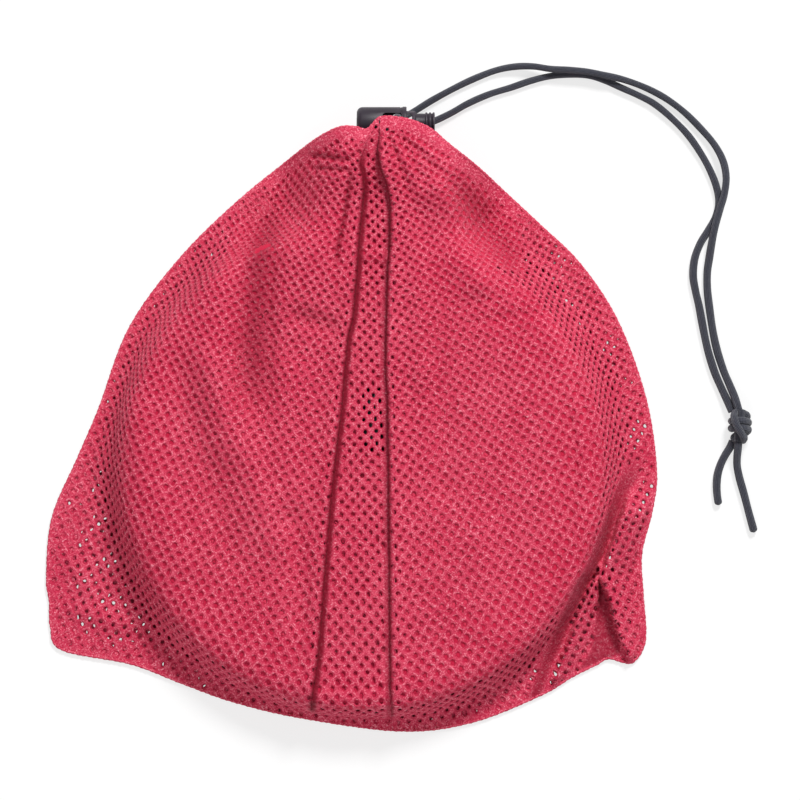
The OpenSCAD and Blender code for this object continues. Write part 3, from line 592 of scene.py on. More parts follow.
def woven(name, dark, light, pitch_mm):
    """Plain weave, whose threads cross at right angles over the piece's own map. Once round in
    that map is 36 mm of cloth, which is what the sleeve takes round the wire."""
    made = Finish(name, {"Roughness": 0.8, "Sheen Weight": 0.04, "Specular IOR Level": 0.1})
    across, along = made.across_and_along()
    warp = made.wave(across * (FULL_TURN * weave_round / pitch_mm))
    weft = made.wave(along * (FULL_TURN / pitch_mm))
    cloth = warp * weft
    fuzz = made.noise(1800, 3, 0.6)
    wear = made.noise(45, 3)
    made.feed("Base Color", made.blend(
        made.step(cloth * 0.4 + fuzz * 0.7 + wear * 0.4, 0.1, 1.1), dark, light))
    made.relief(cloth + fuzz * 0.6, 0.12)
    return made


sleeve_finish = woven("woven sleeve cloth", rgb(0.50, 0.008, 0.042), rgb(0.70, 0.030, 0.085), 0.8)


def sleeve_swell(turn, angle):
    """The sleeve's seam, the puckers beside it, and its slow unevenness."""
    a, off = np.radians(angle), turn - 3.6
    seam = 0.55 * np.exp(-(off / 0.16)**2) - 0.3 * np.exp(-((np.abs(off) - 0.32) / 0.12)**2)
    near_seam = 0.4 + 0.6 * np.cos(turn / 2 - 1.8)**2
    pucker = 0.10 * np.sin(a * 118 + 1.3 * np.sin(3 * turn)) * near_seam
    return seam + pucker + 0.12 * np.sin(a * 23 + 2 * turn) - 0.1


hoop_tube("hoop_padded_sleeve", np.arange(0.8, hoop_end - 0.7, 1.25), 5.72, 28, sleeve_finish,
          "hoop_sleeve", swell=sleeve_swell)

# ---- Folded net ----
# Knitted netting, folded into several thin layers inside the hoop. It lies over the legs and
# balls, and dips into a trough that takes the pump. A folded tape is sewn round its edge.
net_finish = Finish("folded netting", {
    "Roughness": 0.75, "Sheen Weight": 0.08, "Specular IOR Level": 0.2})
net_across, net_along = net_finish.across_and_along()
thread_turns = FULL_TURN / 5.2
one_way = net_finish.wave((net_across + net_along) * thread_turns)
other_way = net_finish.wave((net_across - net_along) * thread_turns)
threads = one_way.maths("MAXIMUM", one_way, other_way)
net_fuzz = net_finish.noise(1500, 3, 0.6)
net_layers = net_finish.noise(220, 2)
net_finish.feed("Base Color", net_finish.blend(
    net_finish.step(threads * 0.6 + net_layers * 0.5 + net_fuzz * 0.3, 0.2, 1.1),
    rgb(0.44, 0.008, 0.038), rgb(0.64, 0.036, 0.088)))
net_finish.relief(net_finish.step(threads, 0.1, 0.9) + net_fuzz * 0.3, 0.6)
net_r, net_top, net_t = 91.5, 24.85, 3.8
pump_y, trough = 0.978, 17.2
trough_side = [(trough + 3, net_top), (trough + 0.6, net_top - 1.2), (trough, net_top - 4),
               (trough, 9.5), (trough - 0.8, 6.4), (trough - 3.5, 4.9)]
net_chain = (
    [(pack[1] - net_r + 0.4, net_top), (-60, net_top), (pump_y - 40, net_top)]
    + [(pump_y - y, z) for y, z in trough_side] + [(pump_y, 4.5)]
    + [(pump_y + y, z) for y, z in trough_side[::-1]]
    + [(pump_y + 34, net_top), (pack[1] + net_r - 0.4, net_top)])
chain, chain_s = even_route([(0, y, z) for y, z in net_chain], 1.1)
chain_t = unit_rows(np.gradient(chain, axis=0))
chain_up = np.stack([np.zeros(len(chain)), -chain_t[:, 2], chain_t[:, 1]], 1)
half = np.sqrt(np.maximum(net_r**2 - (chain[:, 1] - pack[1])**2, 0.3))
net_points, net_steps = [], 150
for t in np.linspace(-1, 1, net_steps):
    upper = chain.copy()
    upper[:, 0] = x = pack[0] + t * half
    pleat = (0.42 * np.sin(FULL_TURN * chain_s / 6.3 + 0.9 * np.sin(x / 19 + 0.04 * chain_s))
             + 0.22 * np.sin(FULL_TURN * chain_s / 2.9 + x / 7)
             + 0.18 * np.sin(x / 3.1 + chain_s / 9) - 0.45)
    net_points += [upper + chain_up * pleat[:, None], (upper - chain_up * net_t)[::-1]]
net_faces, net_maps = turned_over(*ring_faces(net_steps, 2 * len(chain)))
make_piece("folded_netting", np.vstack(net_points), net_faces, net_finish,
           ["folded_net"], scaled(net_maps, 2 * chain_s[-1], 1.22))

binding_finish = woven("binding tape", rgb(0.45, 0.018, 0.048), rgb(0.72, 0.052, 0.10), 1.0)
binding_r0, binding_r1, binding_z0, binding_z1 = 92.0, 96.0, 19.5, 24.5
tape = column(arc_corner((binding_r1 - 1.9, binding_z1 - 1.95), 1.85, 0, 180, 9) + [
    (binding_r0 + 0.15, binding_z0 + 1.4), (binding_r0 + 0.5, binding_z0 + 0.2),
    (binding_r1 - 0.6, binding_z0 + 0.1), (binding_r1 - 0.1, binding_z0 + 0.7)])
tape_points, tape_count, stitch_every = [], 480, 8
for k in range(tape_count):
    a = FULL_TURN * k / tape_count
    stitch = 0.25 * (abs((k % stitch_every) - 3.5) < 2.2)
    ring = tape.copy()
    ring[3:6, 1] += stitch * 0.7 - 0.15
    ring[:, 0] += 0.1 * math.sin(31 * a)
    tape_points += [(pack[0] + r * math.cos(a), pack[1] + r * math.sin(a), z) for r, z in ring]
tape_faces, tape_maps = ring_faces(tape_count, len(tape), closed=True)
make_piece("net_binding_tape", tape_points, tape_faces, binding_finish,
           ["net_binding"], scaled(tape_maps, 1, 1.2))

# ---- Legs ----
# Five aluminium tubes, each with a moulded snap clip for the hoop at one end and a rubber foot at
# the other. Neighbours lie head to tail.
leg_finish = metal("satin aluminium", rgb(0.66, 0.67, 0.69), 0.34, (0.12, 1.0, 1.0))


def moulded(name, dark, light, rough, depth):
    """Moulded plastic or rubber: fine grain, and patches that handling has rubbed paler."""
    made = Finish(name, {"Specular IOR Level": 0.45})
    fine = made.noise(1900, 3, 0.6)
    cloud = made.noise(90, 3)
    made.feed("Base Color", made.blend(cloud * 0.6 + fine * 0.3, dark, light))
    made.feed("Roughness", rough + 0.2 * fine)
    made.relief(fine, depth)
    return made


clip_finish = moulded("dark moulded plastic", rgb(0.022, 0.022, 0.027), rgb(0.060, 0.060, 0.068),
                      0.4, 0.05)
rubber_finish = moulded("black rubber", rgb(0.020, 0.020, 0.021), rgb(0.050, 0.050, 0.052),
                        0.7, 0.1)
for leg in range(1, 6):
    dress(leg_finish, f"leg_tube_{leg}")
    dress(clip_finish, f"leg_clip_{leg}")
    dress(rubber_finish, f"leg_foot_{leg}")

# ---- Balls ----
# Two soft vinyl balls, let down and pressed flat, so that each is a dished double disc with a
# creased rim. A rubber valve sits in the middle of the dish.
ball_finish = moulded("yellow vinyl", rgb(0.70, 0.44, 0.030), rgb(0.84, 0.60, 0.075), 0.3, 0.08)
ball_r, ball_t, ball_sides, ball_y, content_z = 38.78, 9.0, 96, -58.70, 1.1
ball_base = 0.02
ball_profile = [
    (0.0, 0.05), (12, 0.05), (26, 0.1), (33, 0.3), (36.2, 1.3), (38.0, 2.9), (38.5, 4.5),
    (38.0, 6.2), (36.2, 7.8), (33.6, 8.7), (31.5, 8.85), (28, 8.2), (24, 7.25), (18, 6.95),
    (11, 6.9), (5.2, 6.85), (4.25, 6.6), (4.2, 4.2), (0.0, 4.1)]
profile, _ = even_route([(r, 0, z) for r, z in ball_profile], 1.3)
ball_faces, _ = ring_faces(len(profile), ball_sides)
for ball, side in ((1, -1), (2, 1)):
    ball_x = pack[0] + side * (ball_r + 0.25)
    ball_points = []
    for r, _, z in profile:
        for a in np.arange(ball_sides) * FULL_TURN / ball_sides:
            crease = smooth_step(r, 20, 36) * (
                0.22 * math.sin(11 * a + side) + 0.14 * math.sin(23 * a))
            inward = max(r - max(0, crease + 0.2) * (r > 30), 0.004)
            lift = crease * (z > 4.5) * 0.8 - 0.25 * (z > 4.5) * (r > 30)
            ball_points.append((ball_x + inward * math.cos(a), ball_y + inward * math.sin(a),
                                content_z + min(max(z + lift, ball_base), ball_t)))
    make_piece(f"let_down_ball_{ball}", ball_points, ball_faces, ball_finish,
               [f"flat_ball_{ball}"])
    dress(rubber_finish, f"ball_valve_{ball}")

# ---- Hand pump ----
# A short moulded pump with a T-handle on a steel rod, and an inflation needle that is stored in
# line with its nozzle.
pump_finish = moulded("red glossy plastic", rgb(0.36, 0.030, 0.060), rgb(0.50, 0.055, 0.095),
                      0.16, 0.02)
dress(pump_finish, "pump_barrel")
dress(clip_finish, "pump_cap", "pump_handle", "pump_piston")
dress(steel_finish, "pump_rod", "inflation_needle")
dress(rubber_finish, "pump_seal")

# ---- Front panel of the bag ----
# Warp-knitted polyester mesh with staggered oval holes, cut as one piece and sewn to the back
# panel at its edge. Its fullness lies in one deep pleat down the middle: two folded edges that
# stand over a lower strip. It is built as those three gores.
pack_r, shoulder_r, over_sleeve = 122.0, 14.05, 5.9
top_z, rim_z, lip_z = 28.0, 2.8, 34.1
mouth_turn = 84.5

# The bag's outline: degrees round the pack, and how far it reaches beyond the pack.
edge = column([
    (0, 25), (14, 24), (30, 25.5), (43, 27.5), (54, 29), (67, 37), (75, 44.2), (78.6, 49.6),
    (82, 52.3), (85, 53), (87.3, 52.2), (88.7, 47.5), (89.6, 46), (91.6, 47.6), (94.8, 47),
    (101, 40), (114, 27), (131, 18), (149, 15), (167, 14), (178, 21.5), (189, 36), (199, 46),
    (203, 49), (207, 54), (211, 54.5), (220, 30.5), (230, 19), (241, 12), (256, 7), (278, 11),
    (293, 16.5), (308, 22.5), (315, 26), (320, 31), (322.4, 34), (324, 44), (327, 45),
    (330, 41.5), (336, 31.5), (343, 24), (352, 24.5)])


def polar(xy):
    """Bearing and distance from the pack's middle."""
    d = xy - pack
    return np.arctan2(d[:, 1], d[:, 0]), np.hypot(d[:, 0], d[:, 1])


def from_polar(bearing, r):
    return pack + np.stack([r * np.cos(bearing), r * np.sin(bearing)], 1)


def off_mouth(bearing):
    """Degrees between a bearing and the mouth's, below zero on its right side."""
    return (np.degrees(bearing) - mouth_turn + 180) % 360 - 180


edge_turn, edge_reach = np.radians(edge[:, 0]), edge[:, 1] + pack_r
closed_edge, _ = even_route(np.stack([edge_reach * np.cos(edge_turn),
                                      edge_reach * np.sin(edge_turn), 0 * edge_turn], 1),
                            1.0, closed=True)
bearings = np.radians(np.arange(0, 360, 0.4))
closed_turn = np.arctan2(closed_edge[:, 1], closed_edge[:, 0]) % FULL_TURN
order = np.argsort(closed_turn)
edge_of = np.interp(bearings, closed_turn[order],
                    np.hypot(closed_edge[:, 0], closed_edge[:, 1])[order], period=FULL_TURN)


def hang(bearing, reach):
    """The panel's height along one bearing from the pack's middle, as a chain of points."""
    slack = reach - pack_r
    steep = float(smooth_step(-math.sin(bearing), -0.2, 0.2))
    leave = math.radians(min(max((slack - 8) * 1.6, 0), 30 - 16 * steep))
    start = np.array((hoop_r + shoulder_r * math.cos(leave), hoop_z + shoulder_r * math.sin(leave)))
    away = min(0.6 * (slack - 1.2), 14 + 0.14 * slack - steep * (6 + 0.03 * slack))
    land = np.array((hoop_r + shoulder_r + away, rim_z - 0.6))
    drop = start[1] - land[1]
    out = land[0] - start[0]
    pull = min(0.8 * drop / math.cos(leave), 0.9 * out / max(math.sin(leave), 0.01))
    bend = start + pull * np.array((math.sin(leave), -math.cos(leave)))
    t = np.linspace(0, 1, 9)[:, None]
    low = (1 - t)**2 * start + 2 * t * (1 - t) * bend + t**2 * land
    t = t[:, 0]
    over = np.stack([hoop_r + shoulder_r + (reach - 4 - hoop_r - shoulder_r) * t,
                     top_z + (lip_z - 0.6 - top_z) * smooth_step((t - 0.15) / 0.5)], 1)
    neck = 1 - smooth_step((abs(off_mouth(bearing)) - 8) / 15)
    high = [(0, top_z), (49, top_z), (88, top_z)]
    for b in np.radians((90, 78, 66, 57, 48)):
        if b > leave:
            z = hoop_z + shoulder_r * math.sin(b)
            high.append((hoop_r + shoulder_r * math.cos(b), z + (top_z - z) * neck))
    rim = rim_z - 1.2 + (lip_z - 1.8 - rim_z + 1.2) * neck
    return np.vstack([high, low * (1 - neck) + over * neck, [(reach, rim)]])


# Tables over bearing and arc length along the cloth: how far out and how high a point lies.
arc = np.arange(0, 230.0, 1.0)
arc_radius, arc_height, arc_end = [], [], []
kernel = np.hanning(17)
kernel /= kernel.sum()
for bearing, reach in zip(bearings, edge_of):
    chain = hang(bearing, reach)
    chain = chain[np.concatenate([[True], np.diff(chain[:, 0]) > 0.02])]
    fine = np.linspace(0, reach, 500)
    height = np.interp(fine, chain[:, 0], chain[:, 1])
    height = np.convolve(np.pad(height, 8, "edge"), kernel, "valid")
    run = np.concatenate([[0], np.cumsum(np.hypot(np.diff(fine), np.diff(height)))])
    arc_radius.append(np.interp(arc, run, fine))
    arc_height.append(np.interp(arc, run, height))
    arc_end.append(run[-1])
arc_radius, arc_height, arc_end = column(arc_radius), column(arc_height), column(arc_end)


def table_at(table, bearing, r):
    """Reads a table over bearing and arc length between its entries."""
    b = (bearing % FULL_TURN) / FULL_TURN * len(bearings)
    i = np.floor(b).astype(int) % len(bearings)
    j = (i + 1) % len(bearings)
    fb = b - np.floor(b)
    q = np.clip(r, 0, arc[-1] - 1.001)
    k = np.floor(q).astype(int)
    fq = q - k
    return ((1 - fb) * ((1 - fq) * table[i, k] + fq * table[i, k + 1])
            + fb * ((1 - fq) * table[j, k] + fq * table[j, k + 1]))


def end_at(bearing, ends):
    return np.interp(bearing % FULL_TURN, bearings, ends, period=FULL_TURN)


def along_cloth(bearing, r):
    """How far along the front panel's cloth a plan radius lies."""
    rows = np.round((bearing % FULL_TURN) / FULL_TURN * len(bearings)).astype(int) % len(bearings)
    out = np.zeros(len(r))
    for row in np.unique(rows):
        here = rows == row
        out[here] = np.interp(r[here], arc_radius[row], arc)
    return out


def crease(line):
    """A crease of the plan on the cloth when that is spread flat, as heights and places."""
    bearing, r = polar(column(line))
    flat = from_polar(bearing, along_cloth(bearing, r))
    rank = np.argsort(flat[:, 1])
    return flat[rank, 1], flat[rank, 0]


def crease_x(q, line):
    return np.interp(q[:, 1], *line)


def near_line(xy, line):
    """Distance to a chain of points, the share of its length where the nearest one lies, and
    the side on which the chain is passed."""
    line = column(line)
    lengths = np.linalg.norm(np.diff(line, axis=0), axis=1)
    best, share, side = np.full(len(xy), 1e9), np.zeros(len(xy)), np.zeros(len(xy))
    done = 0.0
    for a, b, length in zip(line[:-1], line[1:], lengths):
        t = np.clip(((xy - a) @ (b - a)) / length**2, 0, 1)
        off = xy - (a + t[:, None] * (b - a))
        d = np.linalg.norm(off, axis=1)
        closer = d < best
        best = np.where(closer, d, best)
        share = np.where(closer, (done + t * length) / lengths.sum(), share)
        cross = (b - a)[0] * off[:, 1] - (b - a)[1] * off[:, 0]
        side = np.where(closer, np.sign(cross), side)
        done += length
    return best, share, side


def fold(xy, line, height, half_width, taper=0.15, lean=0.0):
    """A ridge along a line, or a valley where height is below zero. lean makes one side
    steeper."""
    d, share, side = near_line(xy, line)
    ends = smooth_step(share, 0, taper) * (1 - smooth_step(share, 1 - taper, 1))
    return height * np.exp(-(d / (half_width * (1 + lean * side)))**2) * ends


def wander(xy, size, seed):
    """Slow, smooth unevenness between -1 and 1, the same in each run."""
    total = np.zeros(len(xy))
    source = np.random.default_rng(seed)
    for _ in range(7):
        a, phase = source.uniform(0, FULL_TURN, 2)
        wavelength = size * source.uniform(0.7, 1.6)
        across = xy[:, 0] * math.cos(a) + xy[:, 1] * math.sin(a)
        total += np.sin(across * FULL_TURN / wavelength + phase)
    return total / 4.5


def content_top(xy):
    """Height of what the panel rests on: the net inside the hoop, and the hoop's turns round it."""
    bearing, r = polar(xy)
    turn = np.degrees(bearing) % 360
    top = np.full(len(xy), net_top + 0.05)
    for lap in range(hoop_laps):
        b = bundle_angle(turn + 360 * lap)
        off = np.clip(np.abs(r - hoop_r - wind_r * np.cos(b)), 0, over_sleeve)
        top = np.maximum(top, hoop_z + wind_r * np.sin(b) + np.sqrt(over_sleeve**2 - off**2))
    return top


left_crease = crease([
    (13.3, 149), (12, 145), (7.4, 136.3), (5, 126.5), (6.8, 119.8), (7, 113.3), (6, 103.4),
    (4.5, 88.3), (3.7, 74.3), (1.6, 50.3), (-0.7, 42.3), (-2.3, 26.3), (-3.8, 8), (-9, -36.3),
    (-12.5, -78), (-15.5, -116.3), (-17.5, -152)])
right_crease = crease([
    (15, 150), (14.2, 141), (13, 133), (14.5, 124.5), (17.5, 116.8), (19.3, 106.8), (19.3, 88.3),
    (18.1, 74.3), (17.5, 50.3), (17, 26.3), (18, 10.3), (18.5, -23.3), (19, -80), (19.5, -136.3),
    (19.8, -156)])
main_valley = [(-41, 118), (-44, 88), (-47, 40), (-46, -4)]
bulge_fold = [(-35, 56), (-19, 49.5), (0, 44)]
second_crease = [(0.5, 126), (-1.8, 110), (-3.2, 100), (-5.8, 88), (-8, 72)]
neck_wrinkle = [(-24, 133), (-12, 130.5), (2, 127.6)]
lower_wrinkle = [(-20, 125.5), (-10, 124.6), (1, 123)]
low_valley = [(-92, 44), (-68, -26), (-50, -88)]
shoulder_valley = [(46, 124), (60, 106), (74, 88), (92, 68)]
slit = [
    (145, -12), (141, -24.8), (135.5, -34.8), (131.5, -44.8), (128.5, -51.8), (125, -59.8),
    (122, -67.3), (118.5, -74.8), (115, -79.8), (112, -85.8), (109.5, -92.3), (107, -98.8),
    (104.5, -105.8), (101.5, -113.8), (98, -121.3), (95, -129.8), (92, -138)]
pocket = [
    (123.5, -79.3), (123.5, -89.8), (123, -99.8), (122, -107.3), (120, -115.3), (114.5, -124.3),
    (124.5, -120.8), (130.5, -118.3), (134.5, -115.8), (134, -108.8), (131, -99.8),
    (128.5, -89.8), (126, -83.8)]
pocket_z = 2.0
# Each fold: its line, its height, how far it spreads, and how gently its ends run out.
folds = [
    # Left of the pleat.
    (main_valley, -5.0, 8.0, 0.2), ([(-62, 110), (-67, 60), (-66, 10), (-60, -30)], 3.4, 12),
    (bulge_fold, -2.6, 5.0, 0.4), ([(-30, 36), (-33, 0), (-28, -50)], 1.9, 9),
    (second_crease, -2.2, 1.7), (neck_wrinkle, -2.4, 2.2), (lower_wrinkle, -1.6, 1.7),
    (low_valley, -1.8, 8), ([(-76, 44), (-50, -20), (-33, -74)], 2.6, 8),
    ([(-30, -40), (-24, -76), (-24, -110)], -1.6, 5),
    ([(-112, 20), (-98, -34), (-78, -82)], 1.9, 9),
    # Right of it.
    ([(36, 122), (50, 102), (60, 82), (66, 58)], 3.6, 8, 0.15, -0.3),
    (shoulder_valley, -3.0, 6, 0.3), ([(66, 100), (84, 80), (104, 64)], 1.8, 8),
    ([(29, 122), (31, 90), (34, 50), (33, 10)], 1.8, 6), ([(44, 40), (46, 0), (44, -44)], -1.3, 6),
    ([(52, 47), (86, 52), (122, 60)], -0.8, 3),
    ([(112, 36), (114, -16), (104, -60), (84, -94)], -1.4, 8),
    ([(60, -40), (66, -80), (62, -114)], 1.4, 10)]
corner_folds = [
    ([(-126, -62), (-106, -92), (-78, -116)], 1.6, 5),
    ([(-150, -92), (-128, -98), (-100, -104)], 1.8, 5, 0.3),
    ([(-146, -62), (-132, -84), (-126, -106)], 1.1, 5, 0.3)]


def cloth_relief(xy):
    """Folds, valleys and swellings of the front panel, in millimetres of height."""
    z = 0.35 * wander(xy, 60, 3) + 0.22 * wander(xy, 22, 8)
    z -= 0.5 * (1 - smooth_step(polar(xy)[1], 72, 102))
    for shape in folds:
        z += fold(xy, *shape)
    # The swelling left of the pleat's upper half.
    d, a = xy - (-16, 82), math.radians(-6)
    u = d[:, 0] * math.cos(a) + d[:, 1] * math.sin(a)
    v = -d[:, 0] * math.sin(a) + d[:, 1] * math.cos(a)
    z += 4.6 * np.exp(-(u / 16)**2 - (v / 31)**2)
    # Gathers that run together into the neck.
    g = xy - (16.0, 150.0)
    reach = np.hypot(g[:, 0], g[:, 1])
    turn = np.arctan2(g[:, 0], -g[:, 1])
    near = np.exp(-((reach - 16) / 30)**2) * smooth_step(reach, 1, 8)
    return z + near * (0.7 * np.sin(turn * 15 + 0.6) + 0.6 * np.sin(turn * 27 + 2.0))


def tent(xy, line, first, last, left, right):
    """A sharp ridge: its crest falls from first to last along a line, and each side has its
    own slope."""
    away, share, side = near_line(xy, line)
    return first + (last - first) * share - away * np.where(side > 0, right, left)


def slit_at(xy):
    """How far a point lies outside the slit's middle line, and half the slit's width there."""
    away, share, side = near_line(xy, slit)
    return away * side, 4.4 - 1.2 * share


def within(xy, corners):
    """Distance to a closed outline, above zero inside it."""
    line = column(corners + corners[:1])
    odd = np.zeros(len(xy), bool)
    for a, b in zip(line[:-1], line[1:]):
        crossed = (a[1] > xy[:, 1]) != (b[1] > xy[:, 1])
        at = (b[0] - a[0]) * (xy[:, 1] - a[1]) / (b[1] - a[1] + 1e-9) + a[0]
        odd ^= crossed & (xy[:, 0] < at)
    return near_line(xy, line)[0] * np.where(odd, 1, -1)


def corner_relief(xy, z):
    """The two lower corners, where loose cloth lies beyond the pack."""
    bearing, r = polar(xy)
    turn = np.degrees(bearing)
    for shape in corner_folds:
        z = z + fold(xy, *shape)
    # At the right corner a slit runs beside the pack. Beyond it stand a flap, a patch and a leaf
    # of cloth.
    out, half = slit_at(xy)
    flap = tent(xy, [(144.5, -24.8), (140, -34.8), (137, -44.8), (134, -50.8), (131.5, -59.8),
                     (128.5, -67.3), (126, -74.8), (125, -78.8)], 17, 13.5, 5.0, 0.85)
    leaf = tent(xy, [(125, -78.8), (128, -87.3), (130, -94.8), (133, -104.8), (135, -109.8),
                     (137.5, -114.8), (139.5, -121)], 14.5, 7.0, 9.0, 0.80)
    patch = tent(xy, [(120.5, -81.8), (114.5, -94.8), (108.5, -112.3), (102.5, -127.3),
                      (99, -137)], 13, 6, 4.5, 0.75)
    shaped = np.maximum(np.maximum(flap, leaf), np.maximum(patch, pocket_z))
    shaped = np.maximum(np.minimum(z, 25 - 2.5 * (out + half)), np.minimum(shaped, 26))
    shaped += (pocket_z - shaped) * smooth_step(within(xy, pocket), -0.6, 0.8)
    share = (smooth_step(-turn, 3, 11) * (1 - smooth_step(-turn, 50, 58))
             * smooth_step(r, 112, 116))
    return z * (1 - share) + shaped * share


def front_surface(q, lower=0.0):
    """A flat point of the cloth, put where it lies over the pack."""
    bearing, run = polar(q)
    run = np.minimum(run, end_at(bearing, arc_end))
    r, z = table_at(arc_radius, bearing, run), table_at(arc_height, bearing, run)
    xy = from_polar(bearing, r)
    reach = end_at(bearing, edge_of)
    loose = smooth_step(reach - r, 1, 14)
    z = z + cloth_relief(xy) * np.maximum(loose, 0.25 * (xy[:, 1] > 120))
    z = z - lower * loose
    rim = smooth_step(reach - r, 0, 5)
    z = z * (1 - rim) + corner_relief(xy, z) * rim
    floor = 1.3 + (content_top(xy) + 0.8 - 1.3) * (1 - smooth_step(r, 117, 124))
    return np.stack([xy[:, 0], xy[:, 1], np.maximum(z, floor)], 1)


def inside_edge(q, ends):
    """How far a flat point lies inside the panel's outline."""
    bearing, r = polar(q)
    return end_at(bearing, ends) - r


def pull_in(q, ends, margin=0.0):
    """Brings points back inside an outline."""
    bearing, r = polar(q)
    return from_polar(bearing, np.minimum(r, end_at(bearing, ends) - margin))


def normals_of(surface, q):
    step = 0.4
    a = surface(q + (step, 0)) - surface(q - (step, 0))
    b = surface(q + (0, step)) - surface(q - (0, step))
    return unit_rows(np.cross(a, b))


hole_sides = 12


def knit(surface, limits, clamp, start, tilt, across, pitch=5.9, row=3.5, hole=(2.3, 3.05),
         seed=5, spread=0.0008, drop=0.0007, up=1.0, painted_shade=None, shut=None):
    """Cloth of six-sided cells, each with an oval hole and rounded edges.

    Rows of cells start at a point and run at a tilt. They draw together towards the mouth.
    limits(q) is the distance inside the gore's edges, and clamp(q) brings a point back to them.
    A given function of q says how much shade is painted into a point's colour, and holes are
    left out where shut(q) says so.
    The cloth's map runs round each hole and outwards from it, as the yarns do."""
    columns = range(int(across[0] / pitch) - 2, int(across[1] / pitch) + 3)
    rows = range(int(across[2] / row) - 3, int(across[3] / row) + 4)
    middles = np.array([(i + 0.5 * (j % 2), j) for j in rows for i in columns]) * (pitch, row)
    corner = (pitch * pitch / 4 + row * row) / (2 * row)
    flank = ((pitch * pitch / 4 + row * row) / 2 - pitch * pitch / 4) / row
    quarter = [(pitch / 2, 0), (pitch / 2, flank), (pitch / 4, (flank + corner) / 2)]
    shape = column(quarter + [(0, corner)] + [(-x, y) for x, y in quarter[::-1]]
                   + [(-x, -y) for x, y in quarter[1:]] + [(0, -corner)]
                   + [(x, -y) for x, y in quarter[:0:-1]])

    def lay_out(uv):
        v = uv[..., 1] * (1 - drop * uv[..., 1] / 2)
        k = 1j * spread
        z = (np.exp(k * (uv[..., 0] + 1j * v)) - 1) / k * np.exp(1j * math.radians(tilt))
        return np.stack([start[0] + z.real, start[1] + z.imag], -1)

    depth = limits(lay_out(middles))
    keep = depth > -3.4
    middles, depth = middles[keep], depth[keep]
    count = len(middles)
    source = np.random.default_rng(seed)
    jitter = source.normal(0, 0.16, (count, 2))
    sizes = 1 + source.normal(0, 0.12, (count, 2))
    opened = smooth_step(depth, 0.8, 2.2)
    if shut:
        opened = opened * ~shut(lay_out(middles))
    turn = np.arange(hole_sides) * FULL_TURN / hole_sides
    oval = np.stack([np.cos(turn) * hole[0] / 2, np.sin(turn) * hole[1] / 2], 1)
    outer = middles[:, None, :] + shape[None]
    uneven = 1 + source.normal(0, 0.07, (count, hole_sides, 1))
    centre = middles[:, None, :] + jitter[:, None]
    rim = centre + (oval[None] * sizes[:, None] * uneven
                    * np.maximum(opened, 0.06)[:, None, None])
    crest = 0.5 * outer + 0.5 * rim
    under = centre + (rim - centre) * 0.76
    keys = np.round(outer.reshape(-1, 2) * 50).astype(np.int64)
    _, first_use, shared = np.unique(keys, axis=0, return_index=True, return_inverse=True)
    n_shared, n_own = len(first_use), hole_sides * count
    q = lay_out(np.vstack([outer.reshape(-1, 2)[first_use]]
                          + [ring.reshape(-1, 2) for ring in (crest, rim, under)]))
    outside = limits(q) < 0
    q = np.where(outside[:, None], clamp(q), q)
    wide = np.repeat(opened, hole_sides)
    lift = np.concatenate([np.full(n_shared, 0.30), source.normal(0.26, 0.05, n_own),
                           -0.06 * wide, -0.42 * wide]) * up
    points = surface(q) + normals_of(surface, q) * lift[:, None]
    # Painted light and shade in the rib mark: highest on the crests between holes, lower at each
    # rim, lowest down inside the hole, and raised by a painted glint on the same side of every
    # hole.
    gleam = np.tile((0.2, 1, 1, 0.3, 0, 0, 0, 0, 0, 0, 0, 0.1), count) * np.repeat(
        source.uniform(0.1, 1, count), hole_sides)
    mark = np.concatenate([np.full(n_shared, 0.7), 0.62 + 0.38 * gleam, np.full(n_own, 0.25),
                           np.zeros(n_own)])
    ring = np.arange(n_own).reshape(-1, hole_sides)
    bands = [shared.reshape(-1, hole_sides)] + [n_shared + n * n_own + ring for n in range(3)]
    out = (1.5, 0.75, 0.0, -0.6)
    shift = source.uniform(0, 50, (count, 2))
    quads, maps = [], []
    for near, far, v0, v1 in zip(bands, bands[1:], out, out[1:]):
        quads.append(np.stack([near, np.roll(near, -1, 1), np.roll(far, -1, 1), far], -1))
        begin = np.broadcast_to(np.arange(hole_sides) * 0.8, (count, hole_sides))
        u = np.stack([begin, begin + 0.8, begin + 0.8, begin], -1) + shift[:, :1, None]
        v = np.broadcast_to(column((v0, v0, v1, v1)), u.shape) + shift[:, 1:, None]
        maps.append(np.stack([u, v], -1))
    quads, maps = np.vstack(quads).reshape(-1, 4), np.vstack(maps).reshape(-1, 4, 2)
    a, b, c, d = (points[quads[:, n]] for n in range(4))
    areas = np.linalg.norm(np.cross(c - a, d - b), axis=1) / 2
    kept = ~outside[quads].all(1) & (areas > 1e-4)
    quads, maps, areas = quads[kept], maps[kept], areas[kept]
    caps = bands[3][opened < 0.3]
    caps = caps[~outside[caps].all(1)]
    used = np.unique(np.concatenate([quads.ravel(), caps.ravel()]))
    faces = np.searchsorted(used, quads).tolist() + np.searchsorted(used, caps).tolist()
    if up < 0:
        faces = [f[::-1] for f in faces]
    return {"points": points[used], "faces": faces, "area": areas.sum() * MM * MM,
            "maps": np.concatenate([maps.reshape(-1, 2), np.zeros((caps.size, 2))]),
            "marks": {"rib": mark[used],
                      "painted_shade": painted_shade(q)[used] if painted_shade else np.zeros(len(used))}}


def sew(name, cloth, replaced, **sheet):
    """Makes a piece of the bag from knitted cloth. How it lies as a sheet is taken but not used."""
    piece = make_piece(name, cloth["points"], cloth["faces"], bag_finish, [replaced],
                       cloth["maps"], cloth["marks"])
